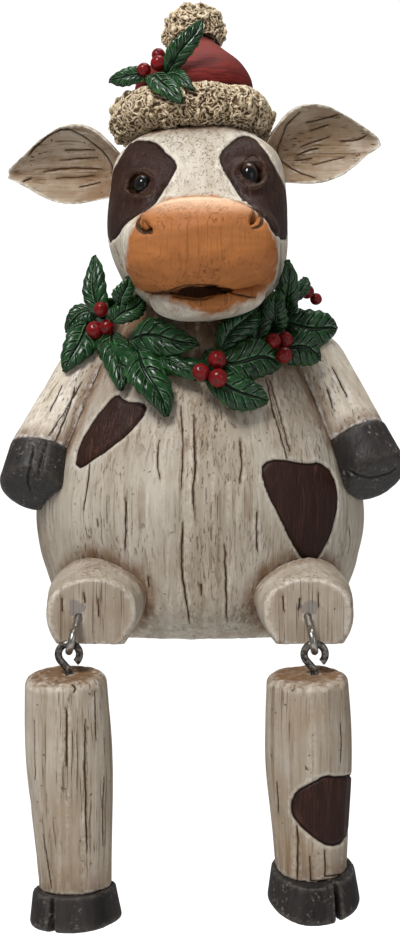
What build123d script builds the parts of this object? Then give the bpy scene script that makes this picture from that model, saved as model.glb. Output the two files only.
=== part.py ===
from build123d import *
import math
import os

os.makedirs("parts", exist_ok=True)

# A seated cow ornament cast in resin to look like whitewashed wood. It sits on
# the edge of a shelf, and its two lower legs hang in front of the shelf, each
# from a pair of linked wire eyes. It wears a fur-trimmed bobble hat with a
# sprig of holly, and a garland of leaves and berries lies round its neck.
# The origin is the middle of the flat seat, +Z is up and the cow looks along -Y.
# Left and right are the cow's own, so its left is +X.

# Body casting: a pear with a flat seat and a neck that plugs into the head
torso_height = 112.0
torso_width = 102.0
torso_depth = 84.0
# Height, half width and half depth, from just under the seat up to the neck
torso_outline_shares = [
    (-0.03, 0.50, 0.48),
    (0.0, 0.61, 0.60),
    (0.054, 0.80, 0.845),
    (0.143, 0.912, 0.93),
    (0.304, 1.0, 1.0),
    (0.446, 0.97, 0.988),
    (0.58, 0.863, 0.905),
    (0.714, 0.716, 0.786),
    (0.848, 0.55, 0.63),
    (0.955, 0.42, 0.50),
    (1.0, 0.38, 0.464),
]

# Thighs: stumps of log that slope down to a sawn face over the shelf edge
thigh_diameter = 26.0
thigh_length = 46.0
thigh_reach = 50.0
thigh_face_height = 8.0
thigh_spacing = 65.0
thigh_slope = 20.0
thigh_splay = 6.0
thigh_rim = 2.0
# Distance back from the face and radius
thigh_outline_shares = [(-0.3, 0.93), (0.0, 1.0), (0.35, 1.13), (0.68, 1.06), (0.90, 0.66)]

# Open wire eyes, one pair to each leg
wire_diameter = 2.2
eye_radius = 3.1
eye_bend_radius = 2.4
eye_reach = 14.5
eye_start_angle = -50.0
eye_turn_angle = 272.0
link_clearance = 0.12
pivot_drop = 7.5
pivot_standoff = 6.0
pivot_spread = 72.0
pivot_shift = -2.4
thigh_eye_slope = 46.0
left_eye_roll = -10.0
right_eye_roll = 15.0

# Lower legs: logs that bulge, taper and lean, with slanting sawn tops
leg_diameter = 25.0
leg_gap = 1.6
leg_rim = 2.8
leg_top_slope = 12.0
left_leg_length = 55.7
right_leg_length = 62.1
left_leg_lean = 1.2
right_leg_lean = 3.0
left_leg_shift = -2.2
right_leg_shift = -1.2
# Height above the sawn top and radius
leg_outline_shares = [
    (0.10, 0.94), (0.0, 0.95), (-0.16, 0.985), (-0.42, 1.01), (-0.72, 0.93), (-1.0, 0.845), (-1.25, 0.80)
]

# Lower hooves: horn shoes with two toes
hoof_height = 10.0
hoof_ledge = 0.9
hoof_flare = 1.5
hoof_toe = 1.6
hoof_rim = 1.4
hoof_squareness = 2.3
left_coronet_slope = 21.0
right_coronet_slope = 7.5
left_sole_slope = 24.0
right_sole_slope = 8.0
hoof_turnout = 30.0
hoof_station_shares = (-1.0, 0.1, 0.9, 2.2)
cleft_width = 2.4
cleft_depth = 4.4

# Arms: tapering logs that lie against the body, each with a small hoof
arm_diameter = 21.6
# Half width, half depth and height of the body at the arm's three points
left_shoulder_shares = (0.66, -0.10, 0.755)
left_wrist_shares = (0.935, -0.34, 0.552)
left_toe_shares = (1.063, -0.46, 0.43)
right_shoulder_shares = (-0.60, -0.10, 0.75)
right_wrist_shares = (-0.95, -0.34, 0.513)
right_toe_shares = (-1.008, -0.46, 0.398)
# Distance down from the shoulder and radius
arm_outline_shares = [(-0.36, 0.45), (-0.24, 0.78), (0.0, 1.0), (0.5, 0.97), (1.0, 0.87), (1.3, 0.82)]
fore_hoof_share = 0.87
fore_hoof_ledge = 0.6
fore_hoof_flare = 0.8
fore_hoof_rim = 2.0
fore_sole_slope = 16.0
fore_cleft_width = 1.8
fore_cleft_depth = 2.2
left_cleft_turn = -62.0
right_cleft_turn = -8.0

# Head casting, which leans a little to the cow's right
head_width = 54.0
head_height = 64.0
head_depth = 84.0
head_rise = 16.0
head_lean = 5.0
# Reach ahead, rise of the middle, half width, height above and below the middle,
# and how square the outline is
head_outline_shares = [
    (-0.571, 0.19, 0.30, 0.25, 0.25, 2.0),
    (-0.476, 0.125, 0.63, 0.56, 0.625, 2.1),
    (-0.286, 0.06, 0.87, 0.81, 0.84, 2.2),
    (0.0, 0.0, 0.963, 0.97, 0.98, 2.3),
    (0.286, 0.0, 1.0, 0.94, 1.0, 2.4),
    (0.524, -0.06, 0.944, 0.81, 0.97, 2.4),
    (0.738, -0.19, 0.815, 0.625, 0.81, 2.4),
    (0.952, -0.28, 0.833, 0.41, 0.50, 2.5),
    (1.143, -0.30, 0.852, 0.39, 0.45, 2.6),
    (1.31, -0.30, 0.78, 0.33, 0.375, 2.5),
    (1.405, -0.30, 0.556, 0.22, 0.25, 2.3),
    (1.44, -0.30, 0.30, 0.125, 0.125, 2.0),
]
chin_outline_shares = [
    (0.45, -0.74, 0.66, 0.25, 0.25, 2.2),
    (0.76, -0.80, 0.66, 0.24, 0.24, 2.3),
    (1.0, -0.84, 0.58, 0.20, 0.19, 2.3),
    (1.12, -0.85, 0.40, 0.13, 0.13, 2.1),
    (1.16, -0.85, 0.20, 0.06, 0.06, 2.0),
]
outline_points = 16

# Mouth: a lens between the muzzle and the lower jaw
mouth_drop = 24.5
mouth_width = 17.0
mouth_gape = 4.4
mouth_depth = 18.0

# Nostrils: slanting slots at the upper corners of the muzzle
nostril_spacing = 32.0
nostril_drop = 3.6
nostril_width = 3.2
nostril_height = 8.0
nostril_depth = 6.0
nostril_slant = 32.0

# Eyeballs: glossy beads in round sockets
eyeball_diameter = 7.4
eyeball_spacing = 32.2
eyeball_rise = 11.0
eyeball_reach = 27.5
eyeball_skew = 0.4

# Ears: cupped leaf shapes that stand out from the sides of the head
ear_length = 40.0
ear_width = 25.0
ear_wall = 2.6
ear_cup = 5.5
ear_root_spacing = 38.0
ear_root_rise = 16.0
ear_root_reach = 1.0
left_ear_rise = 19.0
right_ear_rise = 9.0
ear_sweep = 6.0
ear_facing = 14.0
# Distance out from the root, half width, depth of the cup and shift of the middle
ear_outline_shares = [
    (0.0, 0.36, 0.30, 0.0),
    (0.20, 0.66, 0.75, 0.03),
    (0.40, 0.96, 1.0, 0.07),
    (0.58, 0.98, 0.95, 0.05),
    (0.78, 0.66, 0.62, -0.02),
    (0.93, 0.28, 0.25, -0.12),
    (1.0, 0.10, 0.08, -0.18),
]

# Hat: a soft cap with a fur band and a bobble
brim_radius = 19.6
brim_tube = 6.3
brim_rise = 32.0
brim_shift = 0.7
brim_setback = 6.0
brim_pitch = 10.0
brim_roll = 2.0
crown_height = 28.0
crown_setback = 3.0
crown_side = 3.0
# Height, shift from the middle and half width
crown_outline_shares = [
    (-0.20, 0.0, 0.88), (0.0, 0.0, 0.92), (0.28, 0.05, 0.96), (0.51, 0.16, 0.92),
    (0.67, 0.34, 0.75), (0.79, 0.55, 0.54), (0.88, 0.76, 0.36), (0.96, 0.92, 0.16), (1.0, 1.0, 0.05),
]
bobble_diameter = 18.4
bobble_rise = 29.0
bobble_setback = 8.0
bobble_side = 0.6

# Fur: small rings that lean over, so that each stands out of the surface as a hook
curl_radius = 1.5
curl_thickness = 1.6
curl_sink = 0.35
curl_tilt = 28.0
curl_pitch = 5.1
curl_row_share = 0.87
curl_room = 2.6
# Lowest and highest row of curls, as angles above the widest place
brim_curl_low = -42.0
brim_curl_high = 85.0
bobble_curl_low = -60.0
bobble_curl_high = 90.0
golden_angle = 137.508

# Garland: a hoop of vine round the neck that carries leaves and berries
vine_radius_share = 0.61
vine_height_share = 0.84
vine_set_forward = 5.0
vine_pitch = 22.7
vine_thickness = 6.0
collar_slope = 41.0
leaf_thickness = 1.4
leaf_curl_radius = 60.0
leaf_base_share = 0.30
leaf_widest_share = 0.44
leaf_seat = 0.4
leaf_facing_share = 0.7
leaf_size = 22.0
# For each leaf of a spray: its place round the hoop from the front towards the
# cow's left, its rise above the vine, the way it points as seen from the front
# (0 to the cow's left and 90 up), its lean forward, its length and its width
garland_leaf_shares = {
    "right_leaves": [
        (-75, 0.15, 240, 8, 0.95, 0.56),
        (-36, 0.0, 296, 30, 1.10, 0.54),
        (-55, 0.1, 278, 20, 0.90, 0.46),
        (-24, 0.0, 334, 22, 0.72, 0.28),
        (-42, 0.2, 354, 20, 1.10, 0.50),
        (-78, 0.35, 222, 2, 0.85, 0.42),
        (-63, 0.25, 98, -14, 1.20, 0.38),
        (-52, 0.4, 36, 20, 0.70, 0.32),
    ],
    "left_leaves": [
        (8, -0.1, 333, 10, 1.0, 0.52),
        (54, 0.05, 345, -14, 0.75, 0.54),
        (18, 0.1, 357, -20, 0.95, 0.56),
        (60, 0.35, 352, -8, 0.90, 0.58),
        (15, 0.2, 50, -8, 0.90, 0.38),
        (44, 0.3, 78, -14, 0.90, 0.32),
        (57, 0.35, 90, -16, 1.10, 0.32),
        (70, 0.25, 74, -20, 0.80, 0.32),
    ],
    "back_leaves": [
        (108, 0.1, 300, -34, 0.90, 0.48),
        (142, 0.1, 262, -52, 1.0, 0.48),
        (180, 0.1, 275, -40, 1.0, 0.50),
        (-142, 0.1, 278, -52, 1.0, 0.48),
        (-108, 0.1, 240, -34, 0.90, 0.48),
    ],
}
berry_diameter = 5.2
# For each bunch: its place round the hoop, then each berry's shift to the cow's
# left, its rise and its reach from the vine, as shares of a berry's size
berry_bunch_shares = {
    "front_berries": (5, [(-0.45, -0.35, 0.85), (0.48, 0.38, 0.95), (0.55, -0.68, 0.95)]),
    "left_berries": (50, [(-0.46, 0.66, 0.4), (0.28, 0.80, 1.1), (0.16, -0.26, 1.0)]),
    "right_berries": (-66, [(-0.60, 0.5, 0.8), (-0.20, 1.5, 1.1), (0.20, 0.5, 1.5)]),
    "side_berries": (66, [(0.10, 2.0, 0.7), (0.85, 1.3, 0.5)]),
}

# Holly sprig on the front of the fur band, with its leaves fanned round berries
sprig_turn = -42.0
sprig_rise = 40.0
sprig_leaf_size = 16.0
# The way each leaf points as seen from the front, its lean, length and width
sprig_leaf_shares = [(228, 6, 0.85, 0.46), (180, 0, 0.78, 0.40), (322, 10, 0.80, 0.48), (58, -4, 1.10, 0.44)]
sprig_berry_diameter = 4.8
sprig_berry_shares = [(0.13, 1.2, -0.3), (0.20, 0.62, 0.57), (-0.78, 0.10, 0.45)]

overrun = 60.0
front = Vector(0, -1, 0)
up = Vector(0, 0, 1)
sides = {"left": 1, "right": -1}


def turned(vector, axis, angle):
    """The vector turned about an axis through the origin, in degrees."""
    return Vector(vector).rotate(Axis((0, 0, 0), axis), angle)


def save(piece, label):
    """Names a finished piece and writes it to its own file."""
    piece.label = label
    export_step(piece, f"parts/{label}.step")


def near(one, other):
    """True where the boxes round two pieces meet, so that a cut is worth making."""
    a, b = one.bounding_box(), other.bounding_box()
    return (
        a.min.X < b.max.X and b.min.X < a.max.X
        and a.min.Y < b.max.Y and b.min.Y < a.max.Y
        and a.min.Z < b.max.Z and b.min.Z < a.max.Z
    )


def seated(piece, carriers):
    """The main solid of a piece once everything that carries it is cut out of it."""
    with BuildPart() as rest:
        add(piece)
        for carrier in carriers:
            if near(piece, carrier):
                add(carrier, mode=Mode.SUBTRACT)
    with BuildPart() as main:
        add(rest.part.solids().sort_by(SortBy.VOLUME)[-1])
    return main.part


def body_point(shares):
    """A place on or in the body from its shares of half width, half depth and height."""
    across, ahead, height = shares
    return Vector(torso_width / 2 * across, torso_depth / 2 * ahead, torso_height * height)


def egg_outline(half_width, above, below, squareness, rise):
    """A smooth closed line that can be taller above its middle than below it."""
    points = []
    for step in range(outline_points):
        turn = math.tau * step / outline_points
        across, along = math.cos(turn), math.sin(turn)
        height = above if along > 0 else below
        points.append((
            half_width * math.copysign(abs(across) ** (2 / squareness), across),
            rise + height * math.copysign(abs(along) ** (2 / squareness), along),
        ))
    Spline(*points, periodic=True)


def log_outline(radius, length, outline_shares, domed=False):
    """Half the outline of a log, drawn beside its axis, with the axis as local Y."""
    points = [(radius * wide, length * along) for along, wide in outline_shares]
    start, end = points[0], points[-1]
    Line((0, start[1]), start)
    if domed:
        Spline(*points, (0, length), tangents=((0, 1), (-1, 0)))
        Line((0, length), (0, start[1]))
    else:
        Spline(*points)
        Line(end, (0, end[1]))
        Line((0, end[1]), (0, start[1]))


# Body
with BuildPart() as torso:
    for height_share, width_share, depth_share in torso_outline_shares:
        with BuildSketch(Plane.XY.offset(torso_height * height_share)):
            Ellipse(torso_width / 2 * width_share, torso_depth / 2 * depth_share)
    loft()
    split(bisect_by=Plane.XY, keep=Keep.TOP)
save(torso.part, "torso")


# Thighs
def thigh_plane(side):
    """The sawn end of a thigh, with local Y back along the log."""
    sign = sides[side]
    back = turned((0, 1, 0), (1, 0, 0), thigh_slope)
    back = turned(back, (0, 0, 1), thigh_splay * sign)
    centre = Vector(sign * thigh_spacing / 2, -thigh_reach, thigh_face_height)
    across = back.cross(up).normalized()
    return Plane(origin=centre, x_dir=across, z_dir=across.cross(back))


def make_thigh(side):
    log = thigh_plane(side)
    with BuildPart() as thigh:
        with BuildSketch(log):
            with BuildLine():
                log_outline(thigh_diameter / 2, thigh_length, thigh_outline_shares, domed=True)
            make_face()
        revolve(axis=Axis(log.origin, log.y_dir))
        split(bisect_by=Plane(origin=log.origin, z_dir=front), keep=Keep.BOTTOM)
        fillet(thigh.edges().sort_by(Axis.Y)[0], radius=thigh_rim)
        split(bisect_by=Plane.XY, keep=Keep.TOP)
    return seated(thigh.part, [torso.part])


# Wire eyes
def pivot_point(side):
    """The middle of the wire at the top of a leg's eye, about which the leg swings."""
    across = pivot_shift + sides[side] * pivot_spread / 2
    return Vector(across, -thigh_reach - pivot_standoff, thigh_face_height - pivot_drop)


def wire_eye(ring):
    """An open eye of bent wire, whose ring lies in a plane with its middle at the
    plane's origin and its shank along local -Y."""
    leave = math.radians(eye_start_angle + eye_turn_angle)
    leave_point = (eye_radius * math.cos(leave), eye_radius * math.sin(leave))
    travel = leave_point[0] / math.sin(leave)
    bend_point = (0, leave_point[1] + travel * math.cos(leave))
    with BuildPart() as eye:
        with BuildLine(ring) as path:
            CenterArc((0, 0), eye_radius, eye_start_angle, eye_turn_angle)
            FilletPolyline(leave_point, bend_point, (0, -eye_reach), radius=eye_bend_radius)
        wire = path.wires()[0]
        with BuildSketch(Plane(origin=wire @ 0, z_dir=wire % 0)):
            Circle(wire_diameter / 2)
        sweep(path=wire)
    return eye.part


def leg_eye(side):
    """A leg's eye faces the front and hangs with the top of its ring at the pivot."""
    middle = pivot_point(side) - up * eye_radius
    return wire_eye(Plane(origin=middle, x_dir=(1, 0, 0), z_dir=front))


def thigh_eye(side):
    """A thigh's eye stands edge-on to the front and holds the leg's eye in its ring."""
    roll = {"left": left_eye_roll, "right": right_eye_roll}[side]
    held = pivot_point(side) - up * (wire_diameter + link_clearance)
    rise = turned(up, (0, 1, 0), roll)
    middle = held + rise * eye_radius
    slope = math.radians(thigh_eye_slope)
    shank = Vector(0, 1, 0) * math.cos(slope) + rise * math.sin(slope)
    across = rise.cross(Vector(0, 1, 0))
    return wire_eye(Plane(origin=middle, x_dir=across.cross(shank), z_dir=across))


# Lower legs and their hooves
def leg_plane(side):
    """The leg's sawn top, seen from the front, with local Y up along the leg."""
    lean = {"left": left_leg_lean, "right": right_leg_lean}[side]
    shift = {"left": left_leg_shift, "right": right_leg_shift}[side]
    along = turned(up, (0, 1, 0), -lean)
    drop = 2 * eye_radius + wire_diameter / 2 + leg_gap
    origin = pivot_point(side) + Vector(shift, 0, -drop)
    return Plane(origin=origin, x_dir=along.cross(front), z_dir=front)


def coronet_plane(side):
    """The slanting joint between a leg and its hoof, which faces down."""
    length = {"left": left_leg_length, "right": right_leg_length}[side]
    slope = {"left": left_coronet_slope, "right": right_coronet_slope}[side]
    log = leg_plane(side)
    facing = turned(log.y_dir * -1, (1, 0, 0), slope)
    return Plane(origin=log.origin - log.y_dir * length, z_dir=facing)


def make_leg(side, eye):
    length = {"left": left_leg_length, "right": right_leg_length}[side]
    log = leg_plane(side)
    top = Plane(origin=log.origin, z_dir=turned(log.y_dir, (1, 0, 0), leg_top_slope))
    with BuildPart() as leg:
        with BuildSketch(log):
            with BuildLine():
                log_outline(leg_diameter / 2, length, leg_outline_shares)
            make_face()
        revolve(axis=Axis(log.origin, log.y_dir))
        split(bisect_by=top, keep=Keep.BOTTOM)
        fillet(leg.faces().sort_by(Axis.Z)[-1].edges(), radius=leg_rim)
        split(bisect_by=coronet_plane(side), keep=Keep.BOTTOM)
        add(eye, mode=Mode.SUBTRACT)
    return leg.part


def make_hoof(side):
    """A shoe that flares from the coronet to a slanting sole, split at the toe."""
    sign = sides[side]
    slope = {"left": left_sole_slope, "right": right_sole_slope}[side]
    coronet = coronet_plane(side)
    along = leg_plane(side).y_dir
    toe = turned(front, (0, 0, 1), hoof_turnout * sign)
    across = toe.cross(along).normalized()
    top_radius = leg_diameter / 2 * leg_outline_shares[-2][1] + hoof_ledge
    sole_centre = coronet.origin - along * hoof_height
    sole = Plane(origin=sole_centre, z_dir=turned(along * -1, (1, 0, 0), slope))
    with BuildPart() as hoof:
        for drop_share in hoof_station_shares:
            station = coronet.origin - along * hoof_height * drop_share
            spread = top_radius + hoof_flare * drop_share
            with BuildSketch(Plane(origin=station, x_dir=across, z_dir=along)):
                with BuildLine():
                    egg_outline(spread, spread + hoof_toe, spread - hoof_ledge, hoof_squareness, 0)
                make_face()
        loft()
        split(bisect_by=sole, keep=Keep.BOTTOM)
        fillet(hoof.faces().sort_by(Axis.Z)[0].edges(), radius=hoof_rim)
        split(bisect_by=coronet, keep=Keep.TOP)
        toe_reach = top_radius + hoof_flare + hoof_toe
        with BuildSketch(Plane(origin=coronet.origin, x_dir=across, z_dir=along)):
            with BuildLine():
                Polyline(
                    (0, toe_reach - cleft_depth),
                    (cleft_width, toe_reach + cleft_depth),
                    (-cleft_width, toe_reach + cleft_depth),
                    close=True,
                )
            make_face()
        extrude(amount=overrun, both=True, mode=Mode.SUBTRACT)
    return hoof.part


thighs = {}
for side in sides:
    hanger = thigh_eye(side)
    hook = leg_eye(side)
    with BuildPart() as drilled_thigh:
        add(make_thigh(side))
        add(hanger, mode=Mode.SUBTRACT)
    thighs[side] = drilled_thigh.part
    save(thighs[side], f"{side}_thigh")
    save(hanger, f"{side}_thigh_eye")
    save(hook, f"{side}_leg_eye")
    save(make_leg(side, hook), f"{side}_leg")
    save(make_hoof(side), f"{side}_hoof")


# Arms and their hooves
def make_arm(side):
    """An arm from a domed shoulder inside the body to the joint with its hoof,
    and the hoof beyond that joint."""
    shoulder = body_point({"left": left_shoulder_shares, "right": right_shoulder_shares}[side])
    wrist = body_point({"left": left_wrist_shares, "right": right_wrist_shares}[side])
    toe_end = body_point({"left": left_toe_shares, "right": right_toe_shares}[side])
    arm_way = (wrist - shoulder).normalized()
    hoof_way = (toe_end - wrist).normalized()
    hoof_length = (toe_end - wrist).length
    arm_across = arm_way.cross(front).normalized()
    log = Plane(origin=shoulder, x_dir=arm_across, z_dir=arm_across.cross(arm_way))
    with BuildPart() as arm:
        with BuildSketch(log):
            with BuildLine():
                log_outline(arm_diameter / 2, (wrist - shoulder).length, arm_outline_shares)
            make_face()
        revolve(axis=Axis(log.origin, log.y_dir))
        split(bisect_by=Plane(origin=wrist, z_dir=hoof_way), keep=Keep.BOTTOM)

    hoof_across = hoof_way.cross(front).normalized()
    shoe = Plane(origin=wrist, x_dir=hoof_across, z_dir=hoof_across.cross(hoof_way))
    inner = arm_diameter / 2 * fore_hoof_share + fore_hoof_ledge
    outer = inner + fore_hoof_flare
    sole_way = turned(hoof_way, (1, 0, 0), -fore_sole_slope)
    cleft_turn = {"left": left_cleft_turn, "right": right_cleft_turn}[side]
    cleft_way = turned((front - hoof_way * front.dot(hoof_way)).normalized(), hoof_way, cleft_turn)
    with BuildPart() as hoof:
        with BuildSketch(shoe):
            with BuildLine():
                Polyline((0, 0), (inner, 0), (outer, hoof_length), (outer, overrun), (0, overrun), close=True)
            make_face()
        revolve(axis=Axis(shoe.origin, shoe.y_dir))
        split(bisect_by=Plane(origin=toe_end, z_dir=sole_way), keep=Keep.BOTTOM)
        fillet(hoof.faces().sort_by(Axis(wrist, hoof_way))[-1].edges(), radius=fore_hoof_rim)
        with BuildSketch(Plane(origin=wrist, x_dir=cleft_way.cross(hoof_way), z_dir=hoof_way)):
            with BuildLine():
                Polyline(
                    (0, outer - fore_cleft_depth),
                    (fore_cleft_width, outer + fore_cleft_depth),
                    (-fore_cleft_width, outer + fore_cleft_depth),
                    close=True,
                )
            make_face()
        extrude(amount=overrun, both=True, mode=Mode.SUBTRACT)
    return seated(arm.part, [torso.part]), seated(hoof.part, [torso.part])


arms = {}
for side in sides:
    arms[side], fore_hoof = make_arm(side)
    save(arms[side], f"{side}_arm")
    save(fore_hoof, f"{side}_fore_hoof")

# Head: one casting from the back of the skull to the muzzle, with a lower jaw
tilted_across = turned((1, 0, 0), (0, 1, 0), -head_lean)
face_plane = Plane(origin=(0, 0, torso_height + head_rise), x_dir=tilted_across, z_dir=front)


def face_point(across, rise, reach):
    return face_plane.from_local_coords((across, rise, reach))


eyeballs = {}
for side, sign in sides.items():
    with BuildPart() as eyeball:
        with Locations(face_point(sign * eyeball_spacing / 2 - eyeball_skew, eyeball_rise, eyeball_reach)):
            Sphere(eyeball_diameter / 2)
    eyeballs[side] = eyeball.part
    save(eyeball.part, f"{side}_eyeball")

muzzle_reach = head_depth / 2 * head_outline_shares[-1][0]
with BuildPart() as head:
    for outline_shares in (head_outline_shares, chin_outline_shares):
        for reach, rise, width, above, below, squareness in outline_shares:
            with BuildSketch(face_plane.offset(head_depth / 2 * reach)):
                with BuildLine():
                    half = head_height / 2
                    egg_outline(head_width / 2 * width, half * above, half * below, squareness, half * rise)
                make_face()
        loft()
    for side in sides:
        add(eyeballs[side], mode=Mode.SUBTRACT)
    with BuildSketch(face_plane.offset(muzzle_reach - mouth_depth)):
        with Locations((0, -mouth_drop)):
            Ellipse(mouth_width / 2, mouth_gape / 2)
    extrude(amount=overrun, mode=Mode.SUBTRACT)
    for sign in sides.values():
        with BuildSketch(face_plane.offset(muzzle_reach - nostril_depth)):
            with Locations((sign * nostril_spacing / 2, -nostril_drop)):
                Ellipse(nostril_width / 2, nostril_height / 2, rotation=-sign * nostril_slant)
        extrude(amount=overrun, mode=Mode.SUBTRACT)
    add(torso.part, mode=Mode.SUBTRACT)
save(head.part, "head")


# Ears
def make_ear(side):
    """A cupped ear, hollow towards the front, on a root that seats on the head."""
    sign = sides[side]
    rise = {"left": left_ear_rise, "right": right_ear_rise}[side]
    out = turned((sign, 0, 0), (0, 0, 1), sign * ear_sweep)
    out = turned(out, (0, 1, 0), -sign * rise)
    tall = (up - out * up.dot(out)).normalized()
    tall = turned(tall, out, sign * ear_facing)
    root = face_point(sign * ear_root_spacing / 2, ear_root_rise, ear_root_reach)
    wall = ear_wall / 2 * -sign
    with BuildPart() as ear:
        for out_share, width_share, cup_share, shift_share in ear_outline_shares:
            half = ear_width / 2 * width_share
            bowl = ear_cup * cup_share * -sign
            origin = root + out * ear_length * out_share + tall * ear_width * shift_share
            with BuildSketch(Plane(origin=origin, x_dir=tall, z_dir=out)):
                with BuildLine():
                    ThreePointArc((-half, -wall), (0, bowl - wall), (half, -wall))
                    Line((half, -wall), (half, wall))
                    ThreePointArc((half, wall), (0, bowl + wall), (-half, wall))
                    Line((-half, wall), (-half, -wall))
                make_face()
        loft()
    return seated(ear.part, [head.part])


ears = [make_ear(side) for side in sides]
for side, ear in zip(sides, ears):
    save(ear, f"{side}_ear")

# Hat
hat_up = turned(up, (1, 0, 0), -brim_pitch)
hat_up = turned(hat_up, (0, 1, 0), -brim_roll)
brim_centre = face_point(brim_shift, brim_rise, -brim_setback)
hat_back = (Vector(0, 1, 0) - hat_up * hat_up.Y).normalized()
hat_across = hat_back.cross(hat_up)
crown_shift = hat_back * crown_setback + hat_across * crown_side


def make_brim(start, arc):
    """The fur band before it is curled, or a part of it, from an angle off the front."""
    out = turned(hat_back * -1, hat_up, start)
    with BuildPart() as ring:
        with BuildSketch(Plane(origin=brim_centre, x_dir=out, z_dir=out.cross(hat_up))):
            with Locations(Location((brim_radius, 0, 0), (0, 0, 180))):
                Circle(brim_tube)
        revolve(axis=Axis(brim_centre, hat_up), revolution_arc=arc)
    return seated(ring.part, [head.part])


hat_brim = make_brim(0, 360)

with BuildPart() as cap:
    for height_share, shift_share, width_share in crown_outline_shares:
        station = brim_centre + hat_up * crown_height * height_share + crown_shift * shift_share
        with BuildSketch(Plane(origin=station, x_dir=hat_across, z_dir=hat_up)):
            Circle(brim_radius * width_share)
    loft()
hat_crown = seated(cap.part, [head.part, hat_brim])
save(hat_crown, "hat_crown")

bobble_centre = brim_centre + hat_up * bobble_rise + hat_back * bobble_setback + hat_across * bobble_side
with BuildPart(Plane(origin=bobble_centre, x_dir=hat_back, z_dir=hat_up)) as ball:
    Sphere(bobble_diameter / 2)
hat_bobble = seated(ball.part, [hat_crown, hat_brim])


# Leaves and berries
def make_leaf(base, along, facing, length, width):
    """A leaf that starts at a place, points along a direction, curls away from its
    face and ends in a point."""
    facing = (facing - along * facing.dot(along)).normalized()
    across = facing.cross(along)
    half = width / 2
    curl = math.degrees(length / leaf_curl_radius)
    with BuildPart() as blade:
        with BuildSketch(Plane(origin=base - across * half, x_dir=along, z_dir=across)):
            with BuildLine():
                top = CenterArc((0, leaf_curl_radius), leaf_curl_radius, -90, curl)
                under = CenterArc((0, leaf_curl_radius), leaf_curl_radius - leaf_thickness, -90, curl)
                Line(top @ 0, under @ 0)
                Line(top @ 1, under @ 1)
            make_face()
        extrude(amount=width)
        with BuildSketch(Plane(origin=base - facing * overrun / 2, x_dir=along, z_dir=facing)):
            with BuildLine():
                for edge in (-half, half):
                    ThreePointArc((0, edge * leaf_base_share), (length * leaf_widest_share, edge), (length, 0))
                Line((0, -half * leaf_base_share), (0, half * leaf_base_share))
            make_face()
        extrude(amount=overrun, mode=Mode.INTERSECT)
    return blade.part


def make_berry(centre, facing, diameter):
    """A round berry whose seam is on the side that faces out."""
    rise = (up - facing * up.dot(facing)).normalized()
    with BuildPart(Plane(origin=centre, x_dir=facing, z_dir=rise)) as berry:
        Sphere(diameter / 2)
    return berry.part


def way(heading, lean):
    """A direction from its heading as seen from the front and its lean forward."""
    heading, lean = math.radians(heading), math.radians(lean)
    return Vector(math.cos(heading) * math.cos(lean), -math.sin(lean), math.sin(heading) * math.cos(lean))


vine_radius = torso_width / 2 * vine_radius_share
vine_centre = Vector(0, -vine_set_forward, torso_height * vine_height_share)
vine_up = turned(up, (1, 0, 0), vine_pitch)
vine_forward = turned(front, (1, 0, 0), vine_pitch)
with BuildPart(Plane(origin=vine_centre, x_dir=(1, 0, 0), z_dir=vine_up)) as vine:
    Torus(vine_radius, vine_thickness / 2)
carriers = [torso.part, head.part] + list(arms.values())
vine_part = seated(vine.part, carriers)
save(vine_part, "wreath_vine")


def vine_point(place):
    """The middle of the vine at a place round the hoop."""
    turn = math.radians(place)
    return vine_centre + (Vector(1, 0, 0) * math.sin(turn) + vine_forward * math.cos(turn)) * vine_radius


def vine_facing(place):
    """The way the collar of leaves faces at a place round the hoop."""
    turn = math.radians(place)
    slope = math.radians(collar_slope * (1 + math.cos(turn)) / 2)
    return Vector(math.sin(turn), -math.cos(turn), 0) * math.cos(slope) + up * math.sin(slope)


def garland_leaf(place, rise, heading, lean, length, width):
    """One leaf of the garland, standing on the vine."""
    facing = vine_facing(place)
    climb = (up - facing * up.dot(facing)).normalized()
    stand = vine_thickness / 2 + leaf_thickness - leaf_seat
    base = vine_point(place) + facing * stand + climb * leaf_size * rise
    viewed = facing + front * leaf_facing_share * max(0, math.cos(math.radians(place)))
    return make_leaf(base, way(heading, lean), viewed, leaf_size * length, leaf_size * width)


sprays = {}
for name, leaf_shares in garland_leaf_shares.items():
    with BuildPart() as spray:
        for shares in leaf_shares:
            add(garland_leaf(*shares))
        for carrier in carriers + [vine_part] + list(sprays.values()):
            if near(spray.part, carrier):
                add(carrier, mode=Mode.SUBTRACT)
    sprays[name] = spray.part
    save(spray.part, f"wreath_{name}")

for name, (place, berries) in berry_bunch_shares.items():
    facing = vine_facing(place)
    with BuildPart() as bunch:
        for across, rise, reach in berries:
            shift = (Vector(1, 0, 0) * across + up * rise + facing * reach) * berry_diameter
            berry = make_berry(vine_point(place) + shift, facing, berry_diameter)
            add(seated(berry, carriers + [vine_part] + list(sprays.values())))
    save(bunch.part, f"wreath_{name}")

sprig_way = hat_across * math.sin(math.radians(sprig_turn)) - hat_back * math.cos(math.radians(sprig_turn))
sprig_lift = math.radians(sprig_rise)
sprig_facing = sprig_way * math.cos(sprig_lift) + hat_up * math.sin(sprig_lift)
sprig_centre = brim_centre + sprig_way * brim_radius + sprig_facing * (brim_tube + leaf_thickness - leaf_seat)
with BuildPart() as hat_leaves:
    for heading, lean, length, width in sprig_leaf_shares:
        size = sprig_leaf_size
        add(make_leaf(sprig_centre, way(heading, lean), sprig_facing + front, size * length, size * width))
    for carrier in (hat_brim, hat_crown, hat_bobble):
        add(carrier, mode=Mode.SUBTRACT)
save(hat_leaves.part, "hat_leaves")

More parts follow.
